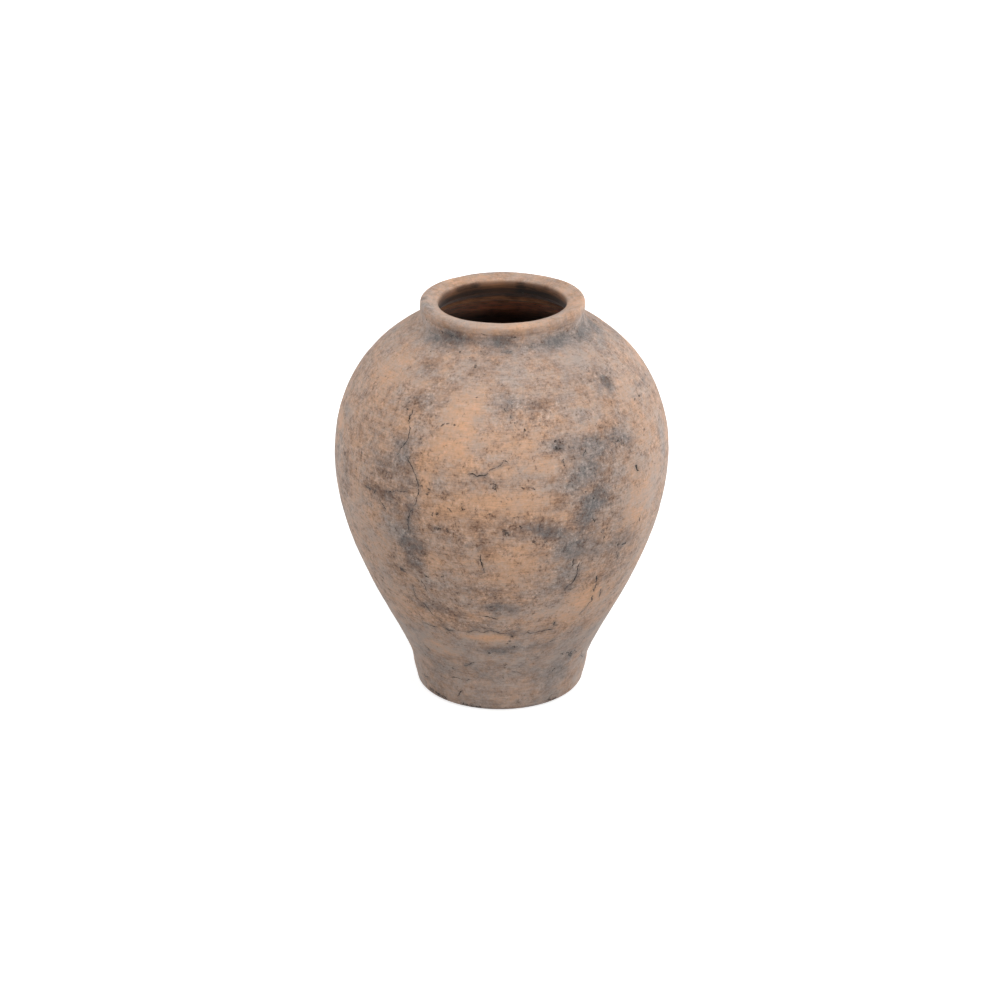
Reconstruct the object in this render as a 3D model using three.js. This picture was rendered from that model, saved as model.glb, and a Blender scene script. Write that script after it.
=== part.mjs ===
// A wide-shouldered terracotta jar, thrown in sections and luted together one on top of the other.
// It stands on the plane Z = 0 with its axis on Z, and all lengths are in millimetres.
// From the ground up it is a floor slab, a foot section, a lower body, an upper body, a neck collar
// and a lip coil.
// Each section carries a tongue under its lower rim, which sits in a groove in the section below,
// and inside the jar a coil of clay is pressed against each wall joint.
import * as THREE from "three";

// Heights of the sections, from the ground up. Together they are the height of the jar.
const FLOOR_THICKNESS = 12;
const FOOT_SECTION_HEIGHT = 90;
const LOWER_BODY_HEIGHT = 130;
const UPPER_BODY_HEIGHT = 142;
const NECK_HEIGHT = 15;
const LIP_HEIGHT = 10;

// Outer radii of the jar.
const FOOT_RADIUS = 82.5;
const FLARE_RADIUS = 110.5;
const BELLY_RADIUS = 162;
const LIP_RADIUS = 79;

// Walls and small forms.
const BODY_WALL = 10;
const LIP_WIDTH = 17.6;
const LIP_OVERHANG = 0.8;
const FOOT_EDGE_ROUND = 7;
const NECK_FILLET_WIDTH = 8.8;

// Where the outside turns, measured from the seams.
const FLARE_BELOW_WAIST = 20;
const BELLY_ABOVE_SEAM = 14;

// How far the outside moves outwards for each millimetre that it climbs, at three places.
const FOOT_LEAN = 0.29;
const FLARE_LEAN = 0.53;
const SHOULDER_LEAN = -1.79;

// How strongly each end of a stretch keeps its direction, as a share of the height of that stretch.
const FOOT_START_PULL = 0.41;
const FOOT_END_PULL = 0.82;
const LOWER_START_PULL = 0.27;
const LOWER_END_PULL = 0.39;
const UPPER_START_PULL = 0.43;
const UPPER_END_PULL = 0.21;

// Shares of the neck's height at which its outer fillet ends and its inner ledge lies.
const FILLET_SHARE = 0.73;
const LEDGE_SHARE = 0.6;

// The top of the lip rounds up to a crest near its outer edge and slopes down into the mouth.
// The crest is a share of the lip's width. The outer rounding, the fall of the slope and the rounding
// into the mouth are shares of the lip's height, and the crest turns over a share of the slope.
const CREST_SHARE = 0.2;
const OUTER_ROUND_SHARE = 0.4;
const MOUTH_FALL_SHARE = 0.36;
const MOUTH_ROUND_SHARE = 0.16;
const CREST_TURN_SHARE = 0.14;

// Joints. The film of slip between two sections is the clearance of every tongue and of every inner coil.
const KEY_WIDTH = 4.5;
const KEY_TIP_WIDTH = 2;
const KEY_DEPTH = 3;
const SLIP_FILM = 0.3;
const COIL_HALF_WIDTH = 5;
const COIL_THICKNESS = 4;

// Fineness of the faces: sides round the axis, the longest step along a curve, and steps in a rounding,
// in the turn of the crest and in a coil.
const SIDES = 48;
const LONGEST_STEP = 17;
const ROUNDING_STEPS = 4;
const CREST_STEPS = 2;
const COIL_STEPS = 6;
const BISECTION_STEPS = 48;

// Levels above the ground.
const WAIST_LEVEL = FLOOR_THICKNESS + FOOT_SECTION_HEIGHT;
const BELLY_SEAM_LEVEL = WAIST_LEVEL + LOWER_BODY_HEIGHT;
const NECK_LEVEL = BELLY_SEAM_LEVEL + UPPER_BODY_HEIGHT;
const LIP_LEVEL = NECK_LEVEL + NECK_HEIGHT;
const TOP_LEVEL = LIP_LEVEL + LIP_HEIGHT;
const FLARE_LEVEL = WAIST_LEVEL - FLARE_BELOW_WAIST;
const BELLY_LEVEL = BELLY_SEAM_LEVEL + BELLY_ABOVE_SEAM;
const FILLET_LEVEL = NECK_LEVEL + NECK_HEIGHT * FILLET_SHARE;
const LEDGE_LEVEL = NECK_LEVEL + NECK_HEIGHT * LEDGE_SHARE;

// Radii that follow from the lip. The shoulder ends where the fillet of the neck begins.
const MOUTH_RADIUS = LIP_RADIUS - LIP_WIDTH;
const NECK_RADIUS = LIP_RADIUS - LIP_OVERHANG;
const SHOULDER_EDGE_RADIUS = NECK_RADIUS + NECK_FILLET_WIDTH;
const CREST_RADIUS = LIP_RADIUS - LIP_WIDTH * CREST_SHARE;

const point = (radius, level) => new THREE.Vector2(radius, level);

// A stretch of the outside from one point to another, with the lean of the wall at both ends.
function stretch(from, fromLean, fromPull, to, toLean, toPull) {
  const climb = to.y - from.y;
  const leave = point(fromLean, 1).multiplyScalar(fromPull * climb).add(from);
  const arrive = point(toLean, 1).multiplyScalar(-toPull * climb).add(to);
  return new THREE.CubicBezierCurve(from, leave, arrive, to);
}

// The outside of the body, in three stretches that pass into one another without a corner.
const footEdge = point(FOOT_RADIUS, FOOT_EDGE_ROUND);
const flare = point(FLARE_RADIUS, FLARE_LEVEL);
const belly = point(BELLY_RADIUS, BELLY_LEVEL);
const shoulderEdge = point(SHOULDER_EDGE_RADIUS, NECK_LEVEL);
const outside = new THREE.CurvePath();
outside.add(stretch(footEdge, FOOT_LEAN, FOOT_START_PULL, flare, FLARE_LEAN, FOOT_END_PULL));
outside.add(stretch(flare, FLARE_LEAN, LOWER_START_PULL, belly, 0, LOWER_END_PULL));
outside.add(stretch(belly, 0, UPPER_START_PULL, shoulderEdge, SHOULDER_LEAN, UPPER_END_PULL));

// A point of the outside, and the point of the inside that lies one wall's thickness behind it,
// square to the surface.
const outerPoint = (t) => outside.getPoint(t);
function innerPoint(t) {
  const along = outside.getTangent(t);
  return outside.getPoint(t).add(point(-along.y, along.x).multiplyScalar(BODY_WALL));
}

// Where along a climbing curve a level is reached.
function placeOf(level, curve) {
  let low = 0;
  let high = 1;
  for (let step = 0; step < BISECTION_STEPS; step += 1) {
    const middle = (low + high) / 2;
    if (curve(middle).y < level) {
      low = middle;
    } else {
      high = middle;
    }
  }
  return (low + high) / 2;
}

// The points of a curve through the given levels in turn, with more between them where the way is long.
function run(curve, levels) {
  const points = [];
  for (let i = 0; i + 1 < levels.length; i += 1) {
    const start = placeOf(levels[i], curve);
    const end = placeOf(levels[i + 1], curve);
    const steps = Math.ceil(curve(start).distanceTo(curve(end)) / LONGEST_STEP);
    for (let step = 0; step < steps; step += 1) {
      points.push(curve(start + ((end - start) * step) / steps));
    }
  }
  const last = levels[levels.length - 1];
  points.push(curve(placeOf(last, curve)));
  return points;
}

// A quarter of an ellipse about a centre, from an angle in radians that is counted from the outward
// direction.
function quarter(centre, reach, rise, startAngle) {
  const points = [];
  for (let step = 0; step <= ROUNDING_STEPS; step += 1) {
    const angle = startAngle + (Math.PI / 2) * (step / ROUNDING_STEPS);
    points.push(point(centre.x + reach * Math.cos(angle), centre.y + rise * Math.sin(angle)));
  }
  return points;
}

// The inside of the neck falls in a straight line from the ledge to the inside of the shoulder.
const shoulderInside = innerPoint(1);
const ledge = point(MOUTH_RADIUS, LEDGE_LEVEL);
const throatPoint = (t) => shoulderInside.clone().lerp(ledge, t);

// The seams between the sections: their level and the radii of the wall there.
const seamAt = (level) => ({
  level,
  outer: outerPoint(placeOf(level, outerPoint)).x,
  inner: innerPoint(placeOf(level, innerPoint)).x,
});
const floorSeam = seamAt(FLOOR_THICKNESS);
const waistSeam = seamAt(WAIST_LEVEL);
const bellySeam = seamAt(BELLY_SEAM_LEVEL);
const neckSeam = {
  level: NECK_LEVEL,
  outer: SHOULDER_EDGE_RADIUS,
  inner: throatPoint(placeOf(NECK_LEVEL, throatPoint)).x,
};
const lipSeam = { level: LIP_LEVEL, outer: NECK_RADIUS, inner: MOUTH_RADIUS };

// The key in the middle of a seam, from its outer corner inwards. Spread makes the groove clear the
// tongue all round.
function key(seam, spread) {
  const centre = (seam.outer + seam.inner) / 2;
  const rim = KEY_WIDTH / 2 + spread;
  const tip = KEY_TIP_WIDTH / 2 + spread;
  const bottom = seam.level - KEY_DEPTH - spread;
  return [
    point(centre + rim, seam.level),
    point(centre + tip, bottom),
    point(centre - tip, bottom),
    point(centre - rim, seam.level),
  ];
}
const groove = (seam) => key(seam, SLIP_FILM);
const tongue = (seam) => key(seam, 0).reverse();

// Levels of the inside at which the coil on a seam begins and ends. Wall and coil have corners there.
const coilBottom = (seam) => seam.level - COIL_HALF_WIDTH;
const coilTop = (seam) => seam.level + COIL_HALF_WIDTH;

function floorSlabProfile() {
  const centre = point(FOOT_RADIUS - FOOT_EDGE_ROUND, FOOT_EDGE_ROUND);
  const edge = quarter(centre, FOOT_EDGE_ROUND, FOOT_EDGE_ROUND, -Math.PI / 2);
  const side = run(outerPoint, [FOOT_EDGE_ROUND, FLOOR_THICKNESS]).slice(1);
  return [point(0, 0), ...edge, ...side, ...groove(floorSeam), point(0, FLOOR_THICKNESS)];
}

function footWallProfile() {
  const up = run(outerPoint, [FLOOR_THICKNESS, FLARE_LEVEL, WAIST_LEVEL]);
  const levels = [FLOOR_THICKNESS, coilTop(floorSeam), coilBottom(waistSeam), WAIST_LEVEL];
  const down = run(innerPoint, levels).reverse();
  return [...up, ...groove(waistSeam), ...down, ...tongue(floorSeam)];
}

function lowerBodyProfile() {
  const up = run(outerPoint, [WAIST_LEVEL, BELLY_SEAM_LEVEL]);
  const levels = [WAIST_LEVEL, coilTop(waistSeam), coilBottom(bellySeam), BELLY_SEAM_LEVEL];
  const down = run(innerPoint, levels).reverse();
  return [...up, ...groove(bellySeam), ...down, ...tongue(waistSeam)];
}

function upperBodyProfile() {
  const up = run(outerPoint, [BELLY_SEAM_LEVEL, BELLY_LEVEL, NECK_LEVEL]);
  const levels = [BELLY_SEAM_LEVEL, coilTop(bellySeam), shoulderInside.y];
  const down = run(innerPoint, levels).reverse();
  const rim = point(neckSeam.inner, NECK_LEVEL);
  return [...up, ...groove(neckSeam), rim, ...down, ...tongue(bellySeam)];
}

function neckCollarProfile() {
  const corner = point(NECK_RADIUS, NECK_LEVEL - NECK_FILLET_WIDTH / SHOULDER_LEAN);
  const fillet = new THREE.QuadraticBezierCurve(shoulderEdge, corner, point(NECK_RADIUS, FILLET_LEVEL));
  const up = [...fillet.getPoints(ROUNDING_STEPS), point(NECK_RADIUS, LIP_LEVEL)];
  const down = [point(MOUTH_RADIUS, LIP_LEVEL), ledge, point(neckSeam.inner, NECK_LEVEL)];
  return [...up, ...groove(lipSeam), ...down, ...tongue(neckSeam)];
}

function lipCoilProfile() {
  const outerRise = LIP_HEIGHT * OUTER_ROUND_SHARE;
  const outerCentre = point(CREST_RADIUS, TOP_LEVEL - outerRise);
  const outerRound = quarter(outerCentre, LIP_RADIUS - CREST_RADIUS, outerRise, 0);
  const slopeWidth = CREST_RADIUS - MOUTH_RADIUS;
  const brow = point(CREST_RADIUS - slopeWidth * CREST_TURN_SHARE, TOP_LEVEL);
  const brim = point(MOUTH_RADIUS, TOP_LEVEL - LIP_HEIGHT * MOUTH_FALL_SHARE);
  const slopeStart = brow.clone().lerp(brim, CREST_TURN_SHARE);
  const slopeEnd = brim.clone().lerp(brow, MOUTH_ROUND_SHARE);
  const throat = point(MOUTH_RADIUS, brim.y - LIP_HEIGHT * MOUTH_ROUND_SHARE);
  const crestTurn = new THREE.QuadraticBezierCurve(point(CREST_RADIUS, TOP_LEVEL), brow, slopeStart);
  const mouthRound = new THREE.QuadraticBezierCurve(slopeEnd, brim, throat);
  const top = [...crestTurn.getPoints(CREST_STEPS).slice(1), ...mouthRound.getPoints(ROUNDING_STEPS)];
  const under = [point(MOUTH_RADIUS, LIP_LEVEL), ...tongue(lipSeam), point(LIP_RADIUS, LIP_LEVEL)];
  return [...outerRound, ...top, ...under];
}

// A half-round coil of clay whose flat back lies one film of slip in front of the given points of the wall.
function coilProfile(wall) {
  const first = wall[0];
  const last = wall[wall.length - 1];
  const along = last.clone().sub(first).normalize();
  const away = point(-along.y, along.x);
  const back = wall.map((place) => place.clone().addScaledVector(away, SLIP_FILM));
  const middle = back[0].clone().lerp(back[back.length - 1], 0.5);
  const half = last.distanceTo(first) / 2;
  const front = [];
  for (let step = 1; step < COIL_STEPS; step += 1) {
    const angle = (Math.PI * step) / COIL_STEPS;
    const place = middle.clone().addScaledVector(along, half * Math.cos(angle));
    front.push(place.addScaledVector(away, COIL_THICKNESS * Math.sin(angle)));
  }
  return [...back, ...front];
}

// The coil in the corner between the floor and the wall rests flat on the floor.
function floorCoilProfile() {
  const wall = run(innerPoint, [FLOOR_THICKNESS, coilTop(floorSeam)]);
  const back = wall.map((place) => place.clone().setX(place.x - SLIP_FILM));
  const centre = point(back[0].x, FLOOR_THICKNESS);
  const round = quarter(centre, COIL_HALF_WIDTH, COIL_HALF_WIDTH, Math.PI / 2).slice(1);
  return [...back, ...round];
}

function bodyCoilProfile(seam) {
  return coilProfile(run(innerPoint, [coilBottom(seam), seam.level, coilTop(seam)]));
}

function neckCoilProfile() {
  const seamPlace = placeOf(NECK_LEVEL, throatPoint);
  const halfShare = COIL_HALF_WIDTH / shoulderInside.distanceTo(ledge);
  return coilProfile([throatPoint(seamPlace - halfShare), throatPoint(seamPlace + halfShare)]);
}

// Turns a profile into a named solid of revolution about Z. The profile closes on itself, or on the axis.
function turned(name, profile, colour, roughness) {
  const onAxis = profile[0].x === 0;
  const closed = onAxis ? profile : [...profile, profile[0].clone()];
  const geometry = new THREE.LatheGeometry(closed, SIDES);
  geometry.rotateX(Math.PI / 2);
  const material = new THREE.MeshStandardMaterial({ color: colour, roughness, metalness: 0 });
  const mesh = new THREE.Mesh(geometry, material);
  mesh.name = name;
  return mesh;
}

// Fired colours: the lip is worn clean and pale, the neck is smoked grey, and the foot is dull with soil.
const LIP_CLAY = 0xc1a592;
const NECK_CLAY = 0x948276;
const UPPER_CLAY = 0xb79d8e;
const LOWER_CLAY = 0xac8a73;
const FOOT_CLAY = 0x8c786b;
const INNER_CLAY = 0x6b4a38;
const OUTER_ROUGHNESS = 0.92;
const INNER_ROUGHNESS = 0.97;

const vase = new THREE.Group();
vase.add(
  turned("floor_slab", floorSlabProfile(), FOOT_CLAY, OUTER_ROUGHNESS),
  turned("foot_wall", footWallProfile(), FOOT_CLAY, OUTER_ROUGHNESS),
  turned("lower_body", lowerBodyProfile(), LOWER_CLAY, OUTER_ROUGHNESS),
  turned("upper_body", upperBodyProfile(), UPPER_CLAY, OUTER_ROUGHNESS),
  turned("neck_collar", neckCollarProfile(), NECK_CLAY, OUTER_ROUGHNESS),
  turned("lip_coil", lipCoilProfile(), LIP_CLAY, OUTER_ROUGHNESS),
  turned("floor_seam_coil", floorCoilProfile(), INNER_CLAY, INNER_ROUGHNESS),
  turned("waist_seam_coil", bodyCoilProfile(waistSeam), INNER_CLAY, INNER_ROUGHNESS),
  turned("belly_seam_coil", bodyCoilProfile(bellySeam), INNER_CLAY, INNER_ROUGHNESS),
  turned("neck_seam_coil", neckCoilProfile(), INNER_CLAY, INNER_ROUGHNESS),
);

export default vase;
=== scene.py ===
"""Looks of a terracotta jar, built around its packed construction model.

The skin of the jar is one line turned about the axis. A place on it has two numbers: the angle round
the axis, counted from the side that the photograph shows towards that picture's right, and the way
walked along the line from the middle of the base, up the outside, over the lip and down the inside.
Relief, stains and cracks are functions of these two numbers, so pieces that touch meet without a step.
All lengths are in metres.
"""

import logging
import math
from dataclasses import dataclass, field
from enum import Enum
from functools import cached_property

import bpy
import numpy as np
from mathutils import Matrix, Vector

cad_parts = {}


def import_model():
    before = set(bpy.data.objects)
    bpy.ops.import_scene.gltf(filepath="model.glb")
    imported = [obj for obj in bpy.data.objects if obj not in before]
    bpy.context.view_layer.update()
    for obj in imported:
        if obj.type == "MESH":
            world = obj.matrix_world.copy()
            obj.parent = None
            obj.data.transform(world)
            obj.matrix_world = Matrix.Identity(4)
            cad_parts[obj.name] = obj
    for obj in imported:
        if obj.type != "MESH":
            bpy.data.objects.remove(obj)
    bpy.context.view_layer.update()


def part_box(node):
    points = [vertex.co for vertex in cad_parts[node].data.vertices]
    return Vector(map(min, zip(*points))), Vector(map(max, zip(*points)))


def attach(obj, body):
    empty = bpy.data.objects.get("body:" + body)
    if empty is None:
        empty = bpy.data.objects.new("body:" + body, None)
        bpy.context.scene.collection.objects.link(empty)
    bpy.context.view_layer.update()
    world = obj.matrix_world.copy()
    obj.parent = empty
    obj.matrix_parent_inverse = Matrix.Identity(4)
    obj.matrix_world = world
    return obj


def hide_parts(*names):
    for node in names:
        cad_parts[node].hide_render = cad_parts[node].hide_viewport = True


log = logging.getLogger("jar")
Array = np.ndarray
Material = bpy.types.Material
Colour = tuple[float, float, float]
Row = tuple[float, ...]
Pair = tuple[float, float]
MM = 0.001
HAIR = 1e-7  # a length too short to matter
FAR = 10 * MM  # distance that stands for no crack near
COIL_COLUMNS = 360  # faces of a coil round the axis
BODY = "root"
WHITE: Colour = (1.0, 1.0, 1.0)
CLEAN = 0.27  # how free of specks the clay of the body is


class Field(Enum):
    """The mesh attributes that the materials read."""

    DUSK = "dusk"
    CHILL = "chill"
    # brightness, with painted light and shade at the lip, the bottom edge and inside the mouth
    TONE = "tone"
    WARMTH = "warmth"
    SPECKLE = "speckle"
    INSIDE = "inside"
    CRACK_SIDE = "crack_side"
    CRACK_WIDTH = "crack_width"
    CRACK_STAIN = "crack_stain"
    NICK_ALONG = "nick_along"
    NICK_ACROSS = "nick_across"
    NICK_NEAR = "nick_near"


def soft_step(low: float, high: float, value: Array) -> Array:
    """Climbs from 0 at low to 1 at high, level at both ends: t * t * (3 - 2 * t)."""
    share = np.clip((value - low) / (high - low), 0.0, 1.0)
    return share * share * (3.0 - 2.0 * share)


def hump(centre: float, reach: float, value: Array) -> Array:
    """A bell, exp(-((value - centre) / reach) squared)."""
    return np.exp(-(((value - centre) / reach) ** 2))


def turn_back(angle: Array) -> Array:
    """Brings angles to between minus half a turn and half a turn."""
    return (angle + math.pi) % (2 * math.pi) - math.pi


def turned(aside: Array, above: Array, turn: float) -> tuple[Array, Array]:
    """Measures along and across a direction: aside * cos + above * sin, above * cos - aside * sin."""
    cos, sin = math.cos(turn), math.sin(turn)
    return aside * cos + above * sin, above * cos - aside * sin


def add_object(name: str, data: bpy.types.ID) -> bpy.types.Object:
    """Makes an object of a mesh, a lamp or a camera, and puts it into the scene.

    Args:
        name: Name of the object.
        data: What it shows.

    Returns:
        The object.
    """
    made = bpy.data.objects.new(name, data)
    bpy.context.scene.collection.objects.link(made)
    return made


@dataclass
class Lumps:
    """Smooth seeded noise in space, between -1 and 1."""

    seed: int
    side: int = 32  # number of lattice points along each side of the block that repeats
    table: Array = field(init=False)

    def __post_init__(self) -> None:
        """Draws the value of each lattice point."""
        self.table = np.random.default_rng(self.seed).uniform(-1.0, 1.0, (self.side,) * 3)

    def at(self, places: Array) -> Array:
        """Mixes the values of the eight lattice points around each place with soft weights.

        Args:
            places: Three rows of coordinates, in lattice steps.

        Returns:
            The noise at each place.
        """
        floors = np.floor(places).astype(int)
        weights = soft_step(0.0, 1.0, places - floors)
        total = np.zeros(places.shape[1:])
        for corner in np.ndindex(2, 2, 2):
            share = np.ones(total.shape)
            for weight, side in zip(weights, corner):
                share = share * (weight if side else 1.0 - weight)
            cell = (floors + np.reshape(corner, (3, 1))) % self.side
            total += share * self.table[tuple(cell)]
        return total

    def layered(self, places: Array, layers: int = 3, gain: float = 0.5) -> Array:
        """Adds layers of noise, each twice as fine as the last and weaker by the gain.

        Args:
            places: Three rows of coordinates, in steps of the coarsest layer.
            layers: Number of layers.
            gain: Strength of each layer as a share of the one before it.

        Returns:
            The sum, scaled back to between -1 and 1.
        """
        apart = np.array([[0.0], [0.0], [7.3]])
        shares = [gain**layer for layer in range(layers)]
        total = sum(share * self.at(places * 2**i + apart * i) for i, share in enumerate(shares))
        return total / sum(shares)


def cubic(start: Array, leave: Array, arrive: Array, end: Array, count: int = 400) -> Array:
    """A cubic curve: the four points weighted by the terms of ((1 - t) + t) cubed.

    Args:
        start: First point, as (radius, level).
        leave: Point that the curve sets off towards.
        arrive: Point that it comes from at its end.
        end: Last point.
        count: Number of points along the curve.

    Returns:
        Points along the curve, one row each.
    """
    t = np.linspace(0.0, 1.0, count)[:, None]
    ways = ((1 - t) ** 3, 3 * (1 - t) ** 2 * t, 3 * (1 - t) * t**2, t**3)
    return ways[0] * start + ways[1] * leave + ways[2] * arrive + ways[3] * end


def bend(start: Array, corner: Array, end: Array) -> Array:
    """A curve that leaves its start and reaches its end in the directions of a corner."""
    third = 2.0 / 3.0
    return cubic(start, start + third * (corner - start), end + third * (corner - end), end)


def quarter_round(centre: Pair, reach: float, rise: float, start: float, count: int = 60) -> Array:
    """A quarter of an ellipse: the centre plus (reach * cos, rise * sin) of a turning angle."""
    angle = start + np.linspace(0.0, math.pi / 2, count)
    return np.stack([centre[0] + reach * np.cos(angle), centre[1] + rise * np.sin(angle)], 1)


class Seam(Enum):
    """Places from which heights are counted, by the name of their level."""

    GROUND = "ground"
    WAIST = "waist"
    BELLY = "belly_seam"
    NECK = "neck"
    LIP = "lip"


@dataclass(frozen=True)
class Levels:
    """Heights above the ground of the seams, read from the frame."""

    floor: float  # top of the floor slab, where the foot's wall begins
    waist: float  # seam between the foot and the lower body
    belly_seam: float  # seam between the lower and the upper body
    neck: float  # seam between the shoulder and the neck
    lip: float  # seam between the neck and the lip
    top: float  # crest of the lip
    ground: float = 0.0  # what the jar stands on

    @classmethod
    def of_frame(cls) -> "Levels":
        """Takes the top of each section's box, from the ground up."""
        nodes = ("floor_slab", "foot_wall", "lower_body", "upper_body", "neck_collar", "lip_coil")
        return cls(*(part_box(node)[1].z for node in nodes))

    def at(self, seam: Seam, above: float = 0.0) -> float:
        """Height of a seam, or of a place some millimetres above it."""
        return getattr(self, seam.value) + above * MM


@dataclass(frozen=True)
class Rise:
    """A change with height that climbs softly from nothing to its full amount."""

    amount: float  # the full amount
    seam: Seam  # where heights are counted from
    start: float  # height at which it begins, in millimetres above the seam
    end: float  # height at which it is complete; it may be the lower of the two

    def over(self, levels: Levels, level: Array) -> Array:
        """The change at each height."""
        ends = levels.at(self.seam, self.start), levels.at(self.seam, self.end)
        return self.amount * soft_step(*ends, level)


@dataclass(frozen=True)
class Belt:
    """A change with height that is strongest at one level and fades above and below it."""

    amount: float  # the change at that level
    seam: Seam  # where the level is counted from
    middle: float  # the level, in millimetres above the seam
    reach: float  # distance in millimetres at which the change has fallen to about a third

    def over(self, levels: Levels, level: Array) -> Array:
        """The change at each height."""
        return self.amount * hump(levels.at(self.seam, self.middle), self.reach * MM, level)


@dataclass(frozen=True)
class Trend:
    """A property of the clay by height: one number for the whole jar, and its changes at the seams."""

    base: float
    changes: tuple[Rise | Belt, ...]

    def over(self, levels: Levels, level: Array) -> Array:
        """The property at each height."""
        return sum((change.over(levels, level) for change in self.changes), self.base)


@dataclass(frozen=True)
class Spots:
    """Places on the skin."""

    around: Array  # angle of each place round the axis
    walked: Array  # way walked to each place along the outline
    radius: Array
    level: Array

    def only(self, chosen: Array) -> "Spots":
        """Some of the places, by their numbers."""
        return Spots(self.around[chosen], self.walked[chosen], self.radius[chosen], self.level[chosen])

    def away(self, around: float, walked: float) -> tuple[Array, Array]:
        """Distances from one place of the skin to each of these, round the axis and along the outline."""
        return self.radius * turn_back(self.around - around), self.walked - walked


@dataclass
class Outline:
    """The line that makes the whole skin of the jar when it is turned about the axis."""

    levels: Levels
    belly_radius: float  # greatest radius of the outside
    lip_radius: float  # outer radius of the lip
    foot_radius: float = 82.5 * MM  # outer radius just above the rounded bottom edge
    flare_radius: float = 110.5 * MM  # outer radius where the foot stops flaring and the body swells
    foot_edge: float = 7 * MM  # radius of the rounded bottom edge
    flare_below_waist: float = 20 * MM  # how far the flare lies below the waist seam
    belly_above_seam: float = 14 * MM  # how far the widest place lies above the belly seam
    wall: float = 10 * MM  # thickness of the wall, square to the surface
    lip_width: float = 17.6 * MM  # width of the lip, seen from above
    lip_overhang: float = 0.8 * MM  # how far the lip stands out over the neck
    fillet_width: float = 8.8 * MM  # reach of the hollow between the shoulder and the neck
    foot_lean: float = 0.29  # how far the foot moves outwards for each metre of height, at its bottom
    flare_lean: float = 0.53  # the same at the flare
    shoulder_lean: float = -1.79  # the same at the upper end of the shoulder
    spacing: float = 0.25 * MM  # distance between the points of the line
    foot_pulls: Pair = (0.41, 0.82)  # pull of each end on the foot's curve, as a share of its height
    lower_pulls: Pair = (0.27, 0.39)  # the same for the lower body
    upper_pulls: Pair = (0.43, 0.21)  # the same for the upper body
    fillet_share: float = 0.73  # share of the neck's height at which the hollow ends
    ledge_share: float = 0.6  # share of the neck's height at which its inner ledge lies
    crest_share: float = 0.2  # how far the crest lies inside the lip's edge, by the lip's width
    outer_round: float = 0.4  # height of the lip's outer rounding, as a share of the lip's height
    mouth_fall: float = 0.36  # how far the lip slopes down into the mouth, as a share of its height
    mouth_round: float = 0.16  # the small round at the end of that slope, as a share
    crest_turn: float = 0.14  # share of the slope over which the crest turns
    points: Array = field(init=False)
    walked: Array = field(init=False)
    outward: Array = field(init=False)
    crest_walk: float = field(init=False)

    @classmethod
    def of_frame(cls) -> "Outline":
        """Takes the seams, the belly's radius and the lip's radius from the boxes of the frame."""
        return cls(Levels.of_frame(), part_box("upper_body")[1].x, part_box("lip_coil")[1].x)

    def __post_init__(self) -> None:
        """Joins the stretches of the line and measures the way along it."""
        outside = self._outside()
        corners = np.concatenate([self._base(), outside, self._neck(), self._lip(), self._inside(outside)])
        steps = np.linalg.norm(np.diff(corners, axis=0), axis=1)
        corners = corners[np.concatenate([[True], steps > 1e-9])]
        way = np.concatenate([[0.0], np.cumsum(np.linalg.norm(np.diff(corners, axis=0), axis=1))])
        self.walked = np.linspace(0.0, way[-1], int(way[-1] / self.spacing))
        self.points = np.stack([np.interp(self.walked, way, corners[:, i]) for i in (0, 1)], 1)
        self.crest_walk = float(self.walked[np.argmax(self.points[:, 1])])
        self.outward = self._normals()

    @property
    def mouth_radius(self) -> float:
        """Inner radius of the lip and of the neck above its ledge."""
        return self.lip_radius - self.lip_width

    @property
    def neck_radius(self) -> float:
        """Outer radius of the neck under the lip."""
        return self.lip_radius - self.lip_overhang

    @property
    def shoulder_edge(self) -> Array:
        """Where the shoulder ends and the hollow of the neck begins, as (radius, level)."""
        return np.array([self.neck_radius + self.fillet_width, self.levels.neck])

    @property
    def ledge_level(self) -> float:
        """Height of the ledge inside the neck."""
        return self.levels.neck + self.ledge_share * (self.levels.lip - self.levels.neck)

    def _normals(self) -> Array:
        """Directions out of the clay: those of the line, smoothed over 1.5 mm and turned to its right.

        Returns:
            One direction for each point, as (radius, level) rows.
        """
        reach = 3
        ahead = np.minimum(np.arange(len(self.points)) + reach, len(self.points) - 1)
        behind = np.maximum(np.arange(len(self.points)) - reach, 0)
        along = self.points[ahead] - self.points[behind]
        along /= np.linalg.norm(along, axis=1)[:, None]
        return np.stack([along[:, 1], -along[:, 0]], 1)

    def _base(self) -> Array:
        """The flat base and the quarter round at its edge.

        Returns:
            Points from the axis outwards.
        """
        middle = self.foot_radius - self.foot_edge
        edge = quarter_round((middle, self.foot_edge), self.foot_edge, self.foot_edge, -math.pi / 2)
        return np.concatenate([[[0.0, 0.0]], edge])

    def _outside(self) -> Array:
        """Foot, lower body and upper body: three cubic curves that pass into one another.

        Returns:
            Points from the foot's edge up to the shoulder's.
        """
        edge = np.array([self.foot_radius, self.foot_edge])
        flare = np.array([self.flare_radius, self.levels.waist - self.flare_below_waist])
        belly = np.array([self.belly_radius, self.levels.belly_seam + self.belly_above_seam])
        stretches = (
            (edge, self.foot_lean, flare, self.flare_lean, self.foot_pulls),
            (flare, self.flare_lean, belly, 0.0, self.lower_pulls),
            (belly, 0.0, self.shoulder_edge, self.shoulder_lean, self.upper_pulls),
        )
        curves = []
        for start, start_lean, end, end_lean, pulls in stretches:
            climb = end[1] - start[1]
            leave = start + pulls[0] * climb * np.array([start_lean, 1.0])
            arrive = end - pulls[1] * climb * np.array([end_lean, 1.0])
            curves.append(cubic(start, leave, arrive, end))
        return np.concatenate(curves)

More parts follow.
